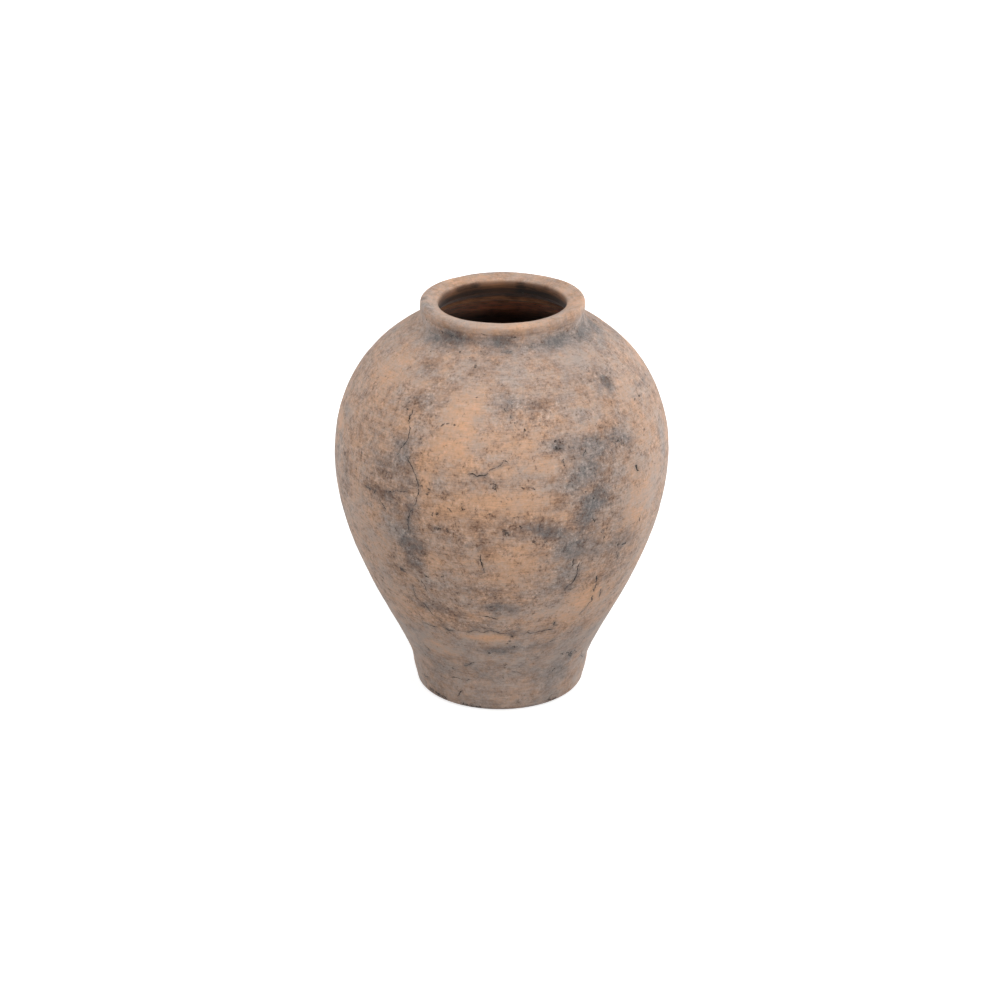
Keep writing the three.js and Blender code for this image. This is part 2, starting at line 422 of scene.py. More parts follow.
    def _neck(self) -> Array:
        """The hollow from the shoulder into the neck, then straight up to the lip's underside.

        Returns:
            Points from the shoulder's edge upwards.
        """
        corner = np.array([self.neck_radius, self.levels.neck - self.fillet_width / self.shoulder_lean])
        height = self.levels.lip - self.levels.neck
        end = np.array([self.neck_radius, self.levels.neck + self.fillet_share * height])
        hollow = bend(self.shoulder_edge, corner, end)
        return np.concatenate([hollow, [[self.neck_radius, self.levels.lip]]])

    def _lip(self) -> Array:
        """The lip: a straight rise, a round out to the crest, a slope into the mouth and a small round.

        Returns:
            Points from the lip's underside over its crest into the mouth.
        """
        top, height = self.levels.top, self.levels.top - self.levels.lip
        rise, fall = self.outer_round * height, self.mouth_fall * height
        crest = np.array([self.lip_radius - self.crest_share * self.lip_width, top])
        out = quarter_round((crest[0], top - rise), self.lip_radius - crest[0], rise, 0.0)
        brow = crest - np.array([self.crest_turn * (crest[0] - self.mouth_radius), 0.0])
        brim = np.array([self.mouth_radius, top - fall])
        slope = brim - brow
        over = bend(crest, brow, brow + self.crest_turn * slope)
        end = brim - np.array([0.0, self.mouth_round * height])
        into = bend(brim - self.mouth_round * slope, brim, end)
        return np.concatenate([[[self.lip_radius, self.levels.lip]], out, over, into])

    def _inside(self, outside: Array) -> Array:
        """The throat under the ledge, the outside moved inwards by the wall, and the floor.

        Args:
            outside: Points of the outside from the foot's edge to the shoulder's.

        Returns:
            Points from the lip's underside down to the middle of the floor.
        """
        along = np.gradient(outside, axis=0)
        along /= np.maximum(np.linalg.norm(along, axis=1), 1e-12)[:, None]
        shell = outside + self.wall * np.stack([-along[:, 1], along[:, 0]], 1)
        shell = shell[shell[:, 1] > self.levels.floor][::-1]
        neck = [[self.mouth_radius, self.levels.lip], [self.mouth_radius, self.ledge_level]]
        floor = [[shell[-1, 0], self.levels.floor], [0.0, self.levels.floor]]
        return np.concatenate([neck, shell, floor])

    def walk_outside(self, level: float) -> float:
        """Way walked to a level on the outside, which climbs all the way."""
        rising = self.walked < self.crest_walk
        return float(np.interp(level, self.points[rising, 1], self.walked[rising]))

    def walk_inside(self, level: float) -> float:
        """Way walked to a level on the inside, which falls all the way."""
        falling = (self.walked > self.crest_walk) & (self.points[:, 1] > self.levels.floor + 10 * HAIR)
        return float(np.interp(-level, -self.points[falling, 1], self.walked[falling]))

    def radius_at(self, walked: Array) -> Array:
        """Radius of the line after each way walked."""
        return np.interp(walked, self.walked, self.points[:, 0])

    def level_at(self, walked: Array) -> Array:
        """Level of the line after each way walked."""
        return np.interp(walked, self.walked, self.points[:, 1])

    def outward_at(self, walked: Array) -> Array:
        """Direction out of the clay after each way walked, as (radius, level) rows."""
        return np.stack([np.interp(walked, self.walked, self.outward[:, i]) for i in (0, 1)], -1)

    def spots(self, around: Array, walked: Array) -> Spots:
        """Places of the skin at angles and ways walked."""
        return Spots(around, walked, self.radius_at(walked), self.level_at(walked))


@dataclass(frozen=True)
class Viewpoint:
    """The camera of the photograph, which also tells where on the skin a pixel of it lies."""

    elevation: float = math.radians(23.0)  # angle of the view below the horizon
    distance: float = 3.1821  # distance from the camera to the place that it looks at
    focal: float = 3251.9  # focal length in pixels of the photograph
    aim: float = 0.18985  # height of the place that it looks at
    aside: float = 0.3 * MM  # how far the camera stands to the right of the jar's foot
    picture: int = 1000  # width and height of the photograph in pixels
    sensor: float = 36.0  # width of the camera's sensor, in millimetres
    lean: float = 0.007  # how far the jar leans to the right for each metre of height
    search: float = 0.35  # how far before and behind the aim the walk along a ray goes
    steps: int = 7001  # number of steps of that walk

    @property
    def eye(self) -> Array:
        """Where the camera stands."""
        back = self.distance * math.cos(self.elevation)
        return np.array([self.aside, -back, self.aim + self.distance * math.sin(self.elevation)])

    def ray(self, x: float, y: float) -> Array:
        """Direction in which a pixel looks: forwards, and aside and upwards by its place in the picture.

        Args:
            x: Pixels from the left of the photograph.
            y: Pixels from its top.

        Returns:
            The direction, of length 1.
        """
        sin, cos = math.sin(self.elevation), math.cos(self.elevation)
        middle = self.picture / 2
        across = np.array([1.0, 0.0, 0.0]) * (x - middle)
        upwards = np.array([0.0, sin, cos]) * (middle - y)
        way = np.array([0.0, cos, -sin]) * self.focal + across + upwards
        return way / np.linalg.norm(way)

    def on_skin(self, outline: Outline, x: float, y: float, into_mouth: bool = False) -> Pair:
        """Finds the place on the skin that a pixel shows, by walking along its ray.

        Args:
            outline: Line of the skin.
            x: Pixels from the left of the photograph.
            y: Pixels from its top.
            into_mouth: Whether the pixel looks through the mouth at the inside.

        Returns:
            The angle round the axis and the way walked along the line.
        """
        reach = self.distance + np.linspace(-self.search, self.search, self.steps)
        places = self.eye + reach[:, None] * self.ray(x, y)
        height = places[:, 2]
        aside, ahead = places[:, 0] - self.lean * height, places[:, 1]
        outer = outline.walked <= outline.crest_walk
        line, order = (~outer, -1) if into_mouth else (outer, 1)
        wall = np.interp(height, outline.points[line, 1][::order], outline.points[line, 0][::order])
        within = (height > 0.0) & (height < outline.levels.top)
        gap = np.where(within, np.hypot(aside, ahead) - wall, 1.0)
        before = gap * order
        crossed = np.flatnonzero((before[:-1] > 0) & (before[1:] <= 0))[::order]
        hit = int(crossed[0]) if len(crossed) else int(np.argmin(np.abs(gap)))
        walk = outline.walk_inside if into_mouth else outline.walk_outside
        return math.atan2(aside[hit], -ahead[hit]), walk(float(height[hit]))

    def camera(self) -> None:
        """Makes the camera and gives it to the scene."""
        data = bpy.data.cameras.new("photograph_view")
        data.sensor_width = self.sensor
        data.lens = self.focal / self.picture * self.sensor
        data.clip_start = 0.05
        data.clip_end = 100.0
        camera = add_object("photograph_view", data)
        camera.location = Vector(self.eye)
        camera.rotation_euler = (math.pi / 2 - self.elevation, 0.0, 0.0)
        bpy.context.scene.camera = camera


@dataclass(frozen=True)
class Mark:
    """A soft mark in place on the skin: its middle, its half sizes in metres, its turn and strengths."""

    around: float
    walked: float
    across: float
    up: float
    turn: float
    dusk: float
    chill: float

    def over(self, spots: Spots) -> Array:
        """Share of the mark at places of the skin: 1 / (1 + q * q), with q its squared distance."""
        along, across = turned(*spots.away(self.around, self.walked), self.turn)
        return 1.0 / (1.0 + ((along / self.across) ** 2 + (across / self.up) ** 2) ** 2)


# Soft marks that the photograph shows, region by region: the middle as a pixel, half the width and
# half the height in millimetres, the turn in degrees anticlockwise, how much more soil and soot than
# usual lies there, and how much greyer than usual the clay is. Less is negative.
THROAT_MARKS: tuple[Row, ...] = (
    (446, 294, 9, 5, 0, 0.9, 0), (462, 288, 8, 4, 0, 1.1, 0), (474, 285, 6, 3, 0, 0.9, 0),
    (492, 286, 8, 5, 0, -0.6, 0), (508, 290, 8, 3, 0, -0.5, 0), (521, 287, 5, 5, 0, 1.2, 0),
    (532, 292, 7, 4, 0, 1, 0), (545, 293, 6, 5, 0, 0.8, 0), (562, 298, 8, 9, 0, -0.9, 0),
    (446, 304, 20, 14, 0, -1, 0),
)
OUTER_MARKS: tuple[Row, ...] = (
    # Lip.
    (430, 306, 12, 9, 0, 0.4, 1.2), (439, 298, 5, 3, 0, 0.9, 0.3), (448, 288, 12, 5, 0, 0.1, 0.3),
    (485, 274, 20, 4, 0, 0.2, 0.6), (450, 319, 12, 5, 0, -0.1, 0.3), (505, 327, 30, 4, 0, -0.5, 0.1),
    (570, 300, 12, 12, 0, -0.2, -0.2),
    # Neck.
    (453, 338, 14, 8, -5, 1, 0.45), (432, 332, 14, 9, -15, 0.45, 0.6), (503, 340, 9, 5, 0, 0.6, 0.35),
    (485, 342, 22, 5, 0, 0.5, 0.35), (540, 344, 26, 5, 3, 0.35, 0.45), (583, 334, 24, 9, 15, 0.5, 1),
    (560, 341, 20, 7, 10, 0.4, 0.8), (500, 353, 60, 4, 0, 0.15, 0.35), (445, 350, 30, 5, 0, 0, 0.3),
    (415, 345, 8, 6, 0, -0.1, 0.7), (600, 347, 10, 8, 0, -0.2, 0), (600, 345, 12, 10, 20, 0.2, 0.7),
    # Shoulder.
    (398, 366, 22, 20, 0, -0.45, -0.15), (425, 367, 9, 8, 0, 0.3, 0.1), (460, 360, 14, 6, 0, -0.15, 0.2),
    (485, 365, 18, 6, 0, 0.25, 0.35), (580, 358, 18, 11, 0, -0.55, 0.2), (607, 383, 6, 9, 10, 0.8, 0.25),
    (600, 372, 12, 10, 60, 0.3, 0), (622, 386, 12, 12, 0, -0.5, -0.2), (540, 385, 60, 18, 0, 0, 0.3),
    (510, 378, 8, 8, 0, -0.25, 0), (380, 385, 16, 18, 0, -0.1, -0.3), (420, 402, 14, 8, 0, 0.4, 0.35),
    (505, 404, 16, 6, 0, 0.4, 0.5), (545, 405, 16, 6, 0, 0.35, 0.2),
    # Upper belly.
    (467, 412, 14, 16, 0, -0.7, -0.3), (460, 435, 14, 16, 0, -0.6, -0.55),
    (450, 450, 16, 8, 0, -0.45, -0.5), (520, 420, 12, 12, 0, -0.25, -0.1),
    (588, 424, 14, 6, 10, -0.5, 0.1), (520, 447, 18, 6, 0, -0.4, -0.3), (558, 447, 6, 5, 0, 0.9, 0.3),
    (598, 437, 22, 6, 5, 0.35, 0.5), (622, 440, 14, 6, -20, 0.2, 0.5), (585, 415, 20, 9, 0, 0.05, 0.8),
    (463, 464, 10, 12, 0, 0, -0.7), (412, 415, 8, 24, 0, -0.05, -0.6), (621, 470, 12, 8, 0, 0, 0.9),
    (662, 436, 7, 30, 0, 0, 0.9), (339, 450, 6, 30, 0, 0, 0.7), (547, 448, 10, 8, 0, 0, 0.6),
    (590, 455, 26, 14, 0, 0.35, 0.7), (402, 447, 10, 14, 0, 0.4, 0.7), (372, 425, 16, 20, 0, 0.05, -0.3),
    (425, 470, 8, 26, 5, -0.2, -0.7), (645, 430, 10, 16, 0, -0.45, 0.1),
    (640, 460, 12, 10, 0, -0.1, 0.4), (545, 467, 20, 7, 0, -0.6, -0.4), (405, 475, 9, 14, 0, 0.6, 0.1),
    (388, 470, 12, 12, 0, 0.3, 0.3), (376, 489, 12, 6, -20, 0.65, -0.4),
    (388, 497, 14, 7, -20, 0.6, 0.2), (345, 470, 12, 25, 0, 0.25, 0.5),
    # Belly.
    (580, 480, 20, 9, 20, 0.45, 0.9), (600, 497, 14, 13, 40, 0.75, 0.6),
    (586, 512, 10, 16, -25, 0.7, 0.9), (560, 500, 14, 8, 0, 0.25, -0.2), (550, 490, 12, 7, 0, 0, 0.8),
    (569, 520, 10, 7, 0, 0.1, -0.6), (596, 550, 12, 10, 0, 0.25, 0.5), (586, 629, 12, 6, 0, -0.2, 0),
    (512, 500, 40, 8, 0, -0.55, -0.4), (490, 512, 40, 9, 0, -0.1, -0.6),
    (560, 516, 8, 6, 0, -0.45, -0.4), (650, 482, 14, 16, 0, -0.8, 0.1),
    (636, 505, 18, 18, 20, -0.9, -0.1), (440, 490, 24, 8, 0, 0.1, -0.1),
    (450, 512, 20, 8, 0, 0.15, -0.4), (362, 515, 14, 18, 0, -0.35, 0.1), (409, 515, 5, 14, 0, 0.5, 0.1),
    (440, 530, 16, 5, -10, 0.45, 0.2), (476, 528, 8, 5, 0, 0.4, -0.3), (503, 531, 9, 6, 0, 0.55, 0.1),
    (530, 528, 14, 6, 0, 0.6, 0.2), (553, 533, 16, 8, -10, 0.75, 0.4), (574, 548, 14, 14, 0, 0.5, 1),
    (598, 530, 18, 10, 30, 0.25, 0.1), (620, 540, 20, 12, 20, 0.45, 0.2),
    (483, 545, 5, 14, 10, 0.6, -0.1), (410, 545, 13, 12, 0, 0.85, 0.6), (415, 562, 10, 10, 0, 0.7, 0.3),
    (395, 530, 12, 12, 0, 0.3, 0.6), (382, 545, 10, 24, -35, -0.5, 0.1),
    # Lower belly.
    (434, 560, 8, 13, 0, -0.5, -0.3), (426, 550, 7, 12, 0, 0.35, 0.1), (458, 545, 14, 8, 0, 0.3, 0.4),
    (443, 572, 10, 6, 0, 0.25, 0.2), (512, 562, 28, 24, 0, -0.25, -0.6), (488, 558, 12, 22, 0, 0.2, 0),
    (545, 551, 9, 6, 0, 0.3, 0), (510, 602, 16, 14, 0, 0.25, 0), (400, 568, 10, 4, 0, 0.4, 0),
    (565, 575, 12, 18, -20, 0.45, 0.7), (568, 588, 5, 9, -35, 0.6, 0.1),
    (597, 580, 5, 14, -15, 0.5, -0.5), (600, 565, 16, 10, 30, -0.1, -0.2),
    (590, 595, 14, 14, 30, -0.6, -0.6), (545, 590, 12, 8, 0, 0.2, 0.6), (480, 590, 20, 8, 0, 0.3, 0.1),
    (425, 590, 16, 14, 0, 0, 0.3), (400, 598, 12, 14, -30, -0.45, 0), (448, 612, 22, 7, -15, 0.65, 0.2),
    (420, 603, 12, 6, -20, 0.3, 0.1), (492, 607, 10, 6, 0, 0.6, 0.6), (512, 612, 18, 8, 0, 0.2, 0.6),
    (575, 608, 22, 14, 10, -0.75, -0.3), (540, 612, 20, 8, 0, -0.3, 0.2),
    # Foot.
    (486, 638, 24, 5, 0, -0.8, -0.8), (513, 634, 6, 6, 0, 0.7, 0.1), (465, 625, 16, 5, 0, 0.35, 0.1),
    (548, 630, 24, 8, 0, 0.2, 0.1), (440, 648, 18, 9, 0, -0.6, 0), (500, 650, 16, 6, 0, 0.6, 0.3),
    (540, 646, 16, 5, 0, 0.45, 0.3), (568, 656, 6, 4, 0, 0.5, 0), (550, 675, 22, 16, 20, 0.15, 0.6),
    (490, 670, 30, 14, 0, 0.1, 0.2), (455, 668, 12, 8, 0, 0.25, 0.1),
)

# Cracks that the photograph shows: half the width in millimetres, and the pixels that each passes.
FRONT_CRACKS: tuple[tuple[float, tuple[Row, ...]], ...] = (
    (0.6, ((412.8, 408.5), (412, 413.5), (409.3, 416), (408.9, 421), (409.2, 424.5))),
    (0.4, (
        (409, 425), (410, 428), (408.8, 434), (408.2, 439), (404, 444.5), (399.8, 450.5), (395.6, 457),
    )),
    (0.45, (
        (404, 454.5), (408.7, 461.8), (413, 469.3), (416.5, 477), (418, 488), (416.8, 499), (412, 507.5),
    )),
    (0.45, ((412, 507.5), (410.3, 511.5), (408.2, 521), (408.8, 528), (408.2, 534))),
    (0.3, ((385, 491), (396, 490), (409, 491.5))),
    (0.5, ((366, 486.5), (369, 488), (371, 490.5))),
    (0.6, ((375.8, 488), (375, 491), (373.8, 494))),
    (0.5, ((379.5, 496.5), (381.5, 503), (383.5, 505.5), (387, 511))),
    (0.5, ((466.5, 475.5), (472, 473.5), (476, 476), (486.5, 475.5), (488, 472))),
    (0.3, ((488, 472), (492, 469.5), (500, 466), (503.5, 463))),
    (0.5, ((502.5, 461.5), (505.5, 461.8), (509, 463))),
    (0.45, ((510.3, 415.5), (511.5, 419.5))),
    (0.4, ((504, 408.5), (507, 412))),
    (0.55, ((585.5, 448), (584.5, 452), (583.3, 456.5))),
    (0.3, ((584.5, 466), (584, 474))),
    (0.4, ((562.5, 458), (564, 463), (564.5, 465))),
    (1.1, ((634, 465.5), (636, 468.5), (639, 471))),
    (1, ((621, 544.8), (626, 543.6))),
    (0.7, ((616, 558), (617.5, 555), (618.5, 552))),
    (0.65, ((573, 559), (572.8, 562), (572.3, 566.5))),
    (0.6, (
        (580, 561), (577.8, 566), (575.6, 577), (574.6, 580), (567.5, 586), (563.8, 592),
    )),
    (0.3, ((567, 590.5), (572, 589), (578, 585))),
    (1.1, ((596, 575.5), (596.2, 582.5))),
    (0.9, ((596.5, 583), (594.8, 587.5), (593.5, 592))),
    (1, ((592.3, 595), (591.3, 601.5))),
    (0.35, ((591, 600.5), (588, 603.5), (582.8, 610.5), (579.3, 615.5))),
    (0.6, ((600.5, 588), (600, 592), (598, 598))),
    (0.65, ((480.5, 553), (480, 559), (482, 563), (483, 568))),
    (0.35, ((483, 568), (485, 573))),
    (0.35, ((412.8, 584), (413, 589.5), (416.5, 599))),
    (0.35, ((421, 579), (424.5, 585), (426.5, 592))),
    (0.4, ((421, 601), (429, 609.5), (436, 617.5))),
    (0.35, ((399, 567), (404, 571), (408, 575))),
    (0.3, ((400, 616), (406, 618.5))),
    (0.4, ((420, 621), (425.5, 623.5), (432, 625.8), (438, 626.5))),
    (0.5, ((443, 627.5), (446, 627.8), (448, 630), (457, 631.3))),
    (0.4, (
        (464, 631.5), (469, 632.2), (472, 630.5), (483, 632.5), (489, 630.5), (505, 634), (512, 635),
    )),
    (0.45, ((519.5, 634.8), (535, 632.8), (546, 630.3), (550.5, 630), (553.5, 628.8))),
    (0.6, ((553, 625.5), (554.5, 623.5), (556, 621))),
    (0.5, ((481, 616.2), (488, 616.5), (493, 618.5), (499, 620))),
    (0.35, ((421, 641), (428.5, 648.5), (431, 652))),
    (0.35, ((463, 665.5), (469, 664.5), (477, 662.5))),
    (0.35, ((448, 676.5), (456, 677.5), (464, 679.5), (472, 679.3))),
    (0.3, ((511, 671), (517, 672), (522, 673))),
    (0.4, ((423.5, 673), (426, 676), (429, 676.5))),
    (0.5, ((457.5, 696.5), (459.5, 693.5), (464, 690.5))),
    (0.5, ((426.5, 682), (427, 687))),
    (0.5, ((560, 654), (563.5, 654))),
    (0.5, ((566.5, 651.5), (568.5, 652.5), (570.3, 656.5))),
    (0.5, ((570.3, 656.5), (571.5, 653), (571, 650))),
    (0.4, ((574.5, 649), (576, 653))),
    (0.35, ((581, 651), (583.5, 656))),
    (0.35, ((549, 642.5), (553, 640), (556.5, 639))),
    (0.45, ((500, 351.8), (504, 352.5), (508, 352), (512.5, 352.2))),
)

# Small dark nicks: the middle as a pixel, half the length and half the width in millimetres, and
# the turn in degrees. The last eight lie along the bottom edge: chips, and painted shade where it turns
# under.
FRONT_NICKS: tuple[Row, ...] = (
    (557.8, 448.3, 2.2, 1.2, -20), (554.8, 441, 1.3, 0.7, 40), (560.3, 442.8, 0.9, 0.7, 0),
    (494, 484.3, 2.3, 1, -10), (494.6, 489, 2.4, 1.2, -35), (437.4, 528.8, 2.2, 1.2, 10),
    (447.5, 530.5, 1.4, 0.9, -40), (475.6, 366, 1, 1.7, 0), (451.6, 335.8, 1.6, 1.1, 15),
    (457, 337.6, 1.8, 0.7, -30), (442.2, 331.8, 1.3, 0.7, -40), (484, 334.7, 1.9, 0.5, -20),
    (514.5, 337.3, 2.2, 0.7, 5), (638.9, 395.7, 1.6, 1.1, 0), (634.5, 399.5, 1.2, 0.8, 30),
    (617.5, 440.8, 1.9, 1, -15), (622, 443, 1.4, 0.8, 0), (618, 544, 1.6, 1.3, 60),
    (520.5, 527.5, 1.3, 1.1, 30), (545.8, 541.6, 1.6, 1.1, 20), (534.5, 542.1, 2.2, 1, -40),
    (594, 520.4, 2.6, 1, -45), (505.5, 532.5, 3, 1.5, -60), (426.5, 576.6, 1.8, 1, -30),
    (442, 576.3, 1.3, 0.9, 60), (418.2, 580.3, 1.5, 0.9, 90), (421.7, 585.2, 1.4, 0.8, -45),
    (401.8, 569.3, 2.2, 1.3, 20), (382.6, 577.7, 1.7, 0.8, -60), (514.3, 646.5, 3.2, 0.9, 0),
    (512.3, 636.4, 1.2, 1.1, 0), (509.8, 641, 1.4, 0.9, 20), (523, 488.3, 1.2, 0.7, 0),
    (533.3, 488.3, 1.4, 0.8, -30), (421.5, 485.5, 1.2, 1, 0), (429.6, 489.5, 1.4, 0.8, -30),
    (427, 494.3, 1.3, 0.6, 0), (432.3, 514.2, 1.8, 0.8, 70), (437.6, 513.6, 2, 0.8, 80),
    (449.2, 509.7, 2, 0.8, -45), (461.2, 504.5, 1.3, 0.8, 60), (463.2, 509.8, 1.6, 0.9, 20),
    (515, 518, 1.9, 0.6, 0), (489.5, 514.5, 1.6, 0.7, 10), (442, 425.3, 1.2, 0.9, 30),
    (447.5, 424, 1, 0.6, 0), (454.5, 425.3, 0.9, 0.7, 0), (420.8, 439, 1.2, 0.7, 0),
    (525, 430, 0.7, 1.5, 0), (515, 423.2, 1.2, 0.6, -40), (361.5, 452.5, 0.9, 1.6, 0),
    (356.3, 468, 0.6, 2, 0), (489.3, 652.7, 1.5, 1, -50), (491, 606.8, 1.4, 1, 0),
    (409, 402.5, 0.9, 0.7, 0), (407.5, 409.3, 1.1, 0.7, 0), (505, 665, 1.8, 1.1, 50),
    (553, 669.5, 1.5, 0.8, 50), (569.8, 632.2, 1.9, 0.6, 0), (453.5, 668.5, 1.5, 1, 0),
    (602, 531.5, 1.5, 1, 90), (639, 519.5, 0.9, 2.2, 0), (432, 689.5, 4, 1.6, 10),
    (438, 693.5, 4.5, 1.8, 0), (444.5, 697, 4, 1.5, 0), (465.5, 704, 3.5, 1.3, 0),
    (472, 705.5, 4, 1.5, 0), (478.5, 706.5, 3, 1.2, 0), (548.5, 700, 3.5, 1.5, 0),
    (554, 698.5, 3, 1.2, 0),
)


@dataclass(frozen=True)
class Unseen:
    """The side of the skin that the photograph doesn't show, over which seeded marks are strewn."""

    first: float = 75.0  # angle in degrees round the axis at which it begins
    last: float = 285.0  # angle at which it ends
    bottom: float = 0.01  # lowest height of a mark
    top: float = 0.38  # greatest height of a mark

    def draw(self, outline: Outline, rng: np.random.Generator) -> Pair:
        """Draws a place: its angle round the axis, and the way walked to it."""
        around = rng.uniform(math.radians(self.first), math.radians(self.last))
        return around, outline.walk_outside(rng.uniform(self.bottom, self.top))


@dataclass(frozen=True)
class CrackLine:
    """A crack in place on the skin: the angles and ways of its points, and its half width."""

    around: Array
    walked: Array
    width: float


@dataclass
class Crazing:
    """All cracks of the jar, those that the photograph shows and seeded ones on the other sides."""

    outline: Outline
    view: Viewpoint
    seed: int = 11
    others: int = 48  # number of cracks outside the photograph's view
    window: float = 4.5 * MM  # distance from a crack within which the mesh knows of it
    unseen: Unseen = Unseen(bottom=0.02, top=0.36)  # where the others lie
    headings: tuple[float, ...] = (0.1, -0.1, 1.4, 1.7, 0.8)  # directions from which theirs are chosen
    scatter: float = 0.25  # spread of a heading about the chosen one
    wander: float = 0.35  # spread of the turn from one stretch to the next
    stretches: tuple[int, int] = (3, 8)  # least number of their stretches, and one over the greatest
    strides: Pair = (4.0, 11.0)  # least and greatest length of a stretch in millimetres
    widths: Pair = (0.25, 0.6)  # least and greatest half width in millimetres
    jag: float = 0.1  # spread of the moves aside that make a course jagged, as a share of a stretch
    fade: Pair = (3.0 * MM, 2.0 * MM)  # distances at which a crack's mark is gone, and is whole
    halo: float = 2.5 * MM  # reach of the stain around a crack
    taper: float = 7.0  # how soon a crack widens from its ends
    breaks: int = 3  # how often each stretch is broken in two
    lines: list[CrackLine] = field(init=False)

    def __post_init__(self) -> None:
        """Places the cracks of the photograph, then draws the others."""
        rng = np.random.default_rng(self.seed)
        self.lines = [self._seen(width, pixels, rng) for width, pixels in FRONT_CRACKS]
        self.lines += [self._drawn(rng) for _ in range(self.others)]

    def _seen(self, width: float, pixels: tuple[Row, ...], rng: np.random.Generator) -> CrackLine:
        """Places a crack of the photograph on the skin."""
        places = np.array([self.view.on_skin(self.outline, x, y) for x, y in pixels])
        return self._jagged(places[:, 0], places[:, 1], width * MM, rng)

    def _drawn(self, rng: np.random.Generator) -> CrackLine:
        """Draws a crack on the other sides: a walk that more or less keeps its direction.

        Args:
            rng: Random draws.

        Returns:
            The crack in place.
        """
        start, walk = self.unseen.draw(self.outline, rng)
        heading = rng.choice(self.headings) + rng.normal(0.0, self.scatter)
        steps = rng.integers(*self.stretches)
        headings = heading + np.cumsum(rng.normal(0.0, self.wander, steps))
        strides = rng.uniform(*self.strides, steps) * MM
        radius = self.outline.radius_at(np.array([walk]))[0]
        around = start + np.concatenate([[0.0], np.cumsum(strides * np.cos(headings))]) / radius
        walked = walk + np.concatenate([[0.0], np.cumsum(strides * np.sin(headings))])
        return self._jagged(around, walked, rng.uniform(*self.widths) * MM, rng)

    def _jagged(self, around: Array, walked: Array, width: float, rng: np.random.Generator) -> CrackLine:
        """Breaks each stretch in two again and again, moving the new corner a little aside.

        Args:
            around: Angles of the crack's points.
            walked: Ways of the crack's points.
            width: Half width of the crack.
            rng: Random draws.

        Returns:
            The crack.
        """
        radius = self.outline.radius_at(walked)
        x, y = around * np.mean(radius), walked.copy()
        for _ in range(self.breaks):
            run, rise = np.diff(x), np.diff(y)
            push = rng.normal(0.0, self.jag, len(run))
            middle_x = (x[:-1] + x[1:]) / 2 - push * rise
            middle_y = (y[:-1] + y[1:]) / 2 + push * run
            x = np.insert(x, np.arange(1, len(x)), middle_x)
            y = np.insert(y, np.arange(1, len(y)), middle_y)
        return CrackLine(x / np.mean(radius), y, width)

    def over(self, spots: Spots) -> tuple[Array, Array, Array]:
        """Measures each place of the skin against the crack that is nearest to it.

        The distance to a crack is the least distance to its stretches, and its sign says on which side
        of the stretch the place lies. So the line keeps its place between the points of a coarse mesh.

        Args:
            spots: Places of the skin.

        Returns:
            The signed distance, the half width of the crack there, and a stain that fades around it.
        """
        side = np.full(spots.around.shape, FAR)
        width, stain = np.zeros(side.shape), np.zeros(side.shape)
        window = self.window / np.maximum(spots.radius, 20 * MM)
        for line in self.lines:
            middle = (line.around.min() + line.around.max()) / 2
            reach = (line.around.max() - line.around.min()) / 2 + window
            near = np.abs(turn_back(spots.around - middle)) < reach
            near &= spots.walked > line.walked.min() - self.window
            near &= spots.walked < line.walked.max() + self.window
            chosen = np.flatnonzero(near)
            if not len(chosen):
                continue
            distance, share = self._measure(line, spots.only(chosen))
            close = np.abs(distance) < np.abs(side[chosen])
            chosen, distance, share = chosen[close], distance[close], share[close]
            taper = np.clip(self.taper * share * (1.0 - share), 0.0, 1.0)
            side[chosen] = distance
            width[chosen] = line.width * taper * soft_step(*self.fade, np.abs(distance))
            stain[chosen] = np.maximum(stain[chosen], taper * hump(0.0, self.halo, distance))
        return side, width, stain

    def _measure(self, line: CrackLine, spots: Spots) -> tuple[Array, Array]:
        """Signed distance from places to a crack, and how far along the crack they lie.

        Args:
            line: The crack.
            spots: Places of the skin.

        Returns:
            The signed distance and the share of the crack's length.
        """
        x = spots.radius[:, None] * turn_back(line.around[None, :] - spots.around[:, None])
        y = line.walked[None, :] - spots.walked[:, None]
        run, rise = np.diff(x, axis=1), np.diff(y, axis=1)
        length = np.maximum(run**2 + rise**2, HAIR**2)
        along = np.clip(-(x[:, :-1] * run + y[:, :-1] * rise) / length, 0.0, 1.0)
        away_x = x[:, :-1] + along * run
        away_y = y[:, :-1] + along * rise
        distance = np.hypot(away_x, away_y)
        best = np.argmin(distance, axis=1)
        rows = np.arange(len(best))
        cross = run[rows, best] * -y[rows, best] + rise[rows, best] * x[rows, best]
        share = (best + along[rows, best]) / run.shape[1]
        return np.where(cross < 0, -1.0, 1.0) * distance[rows, best], share


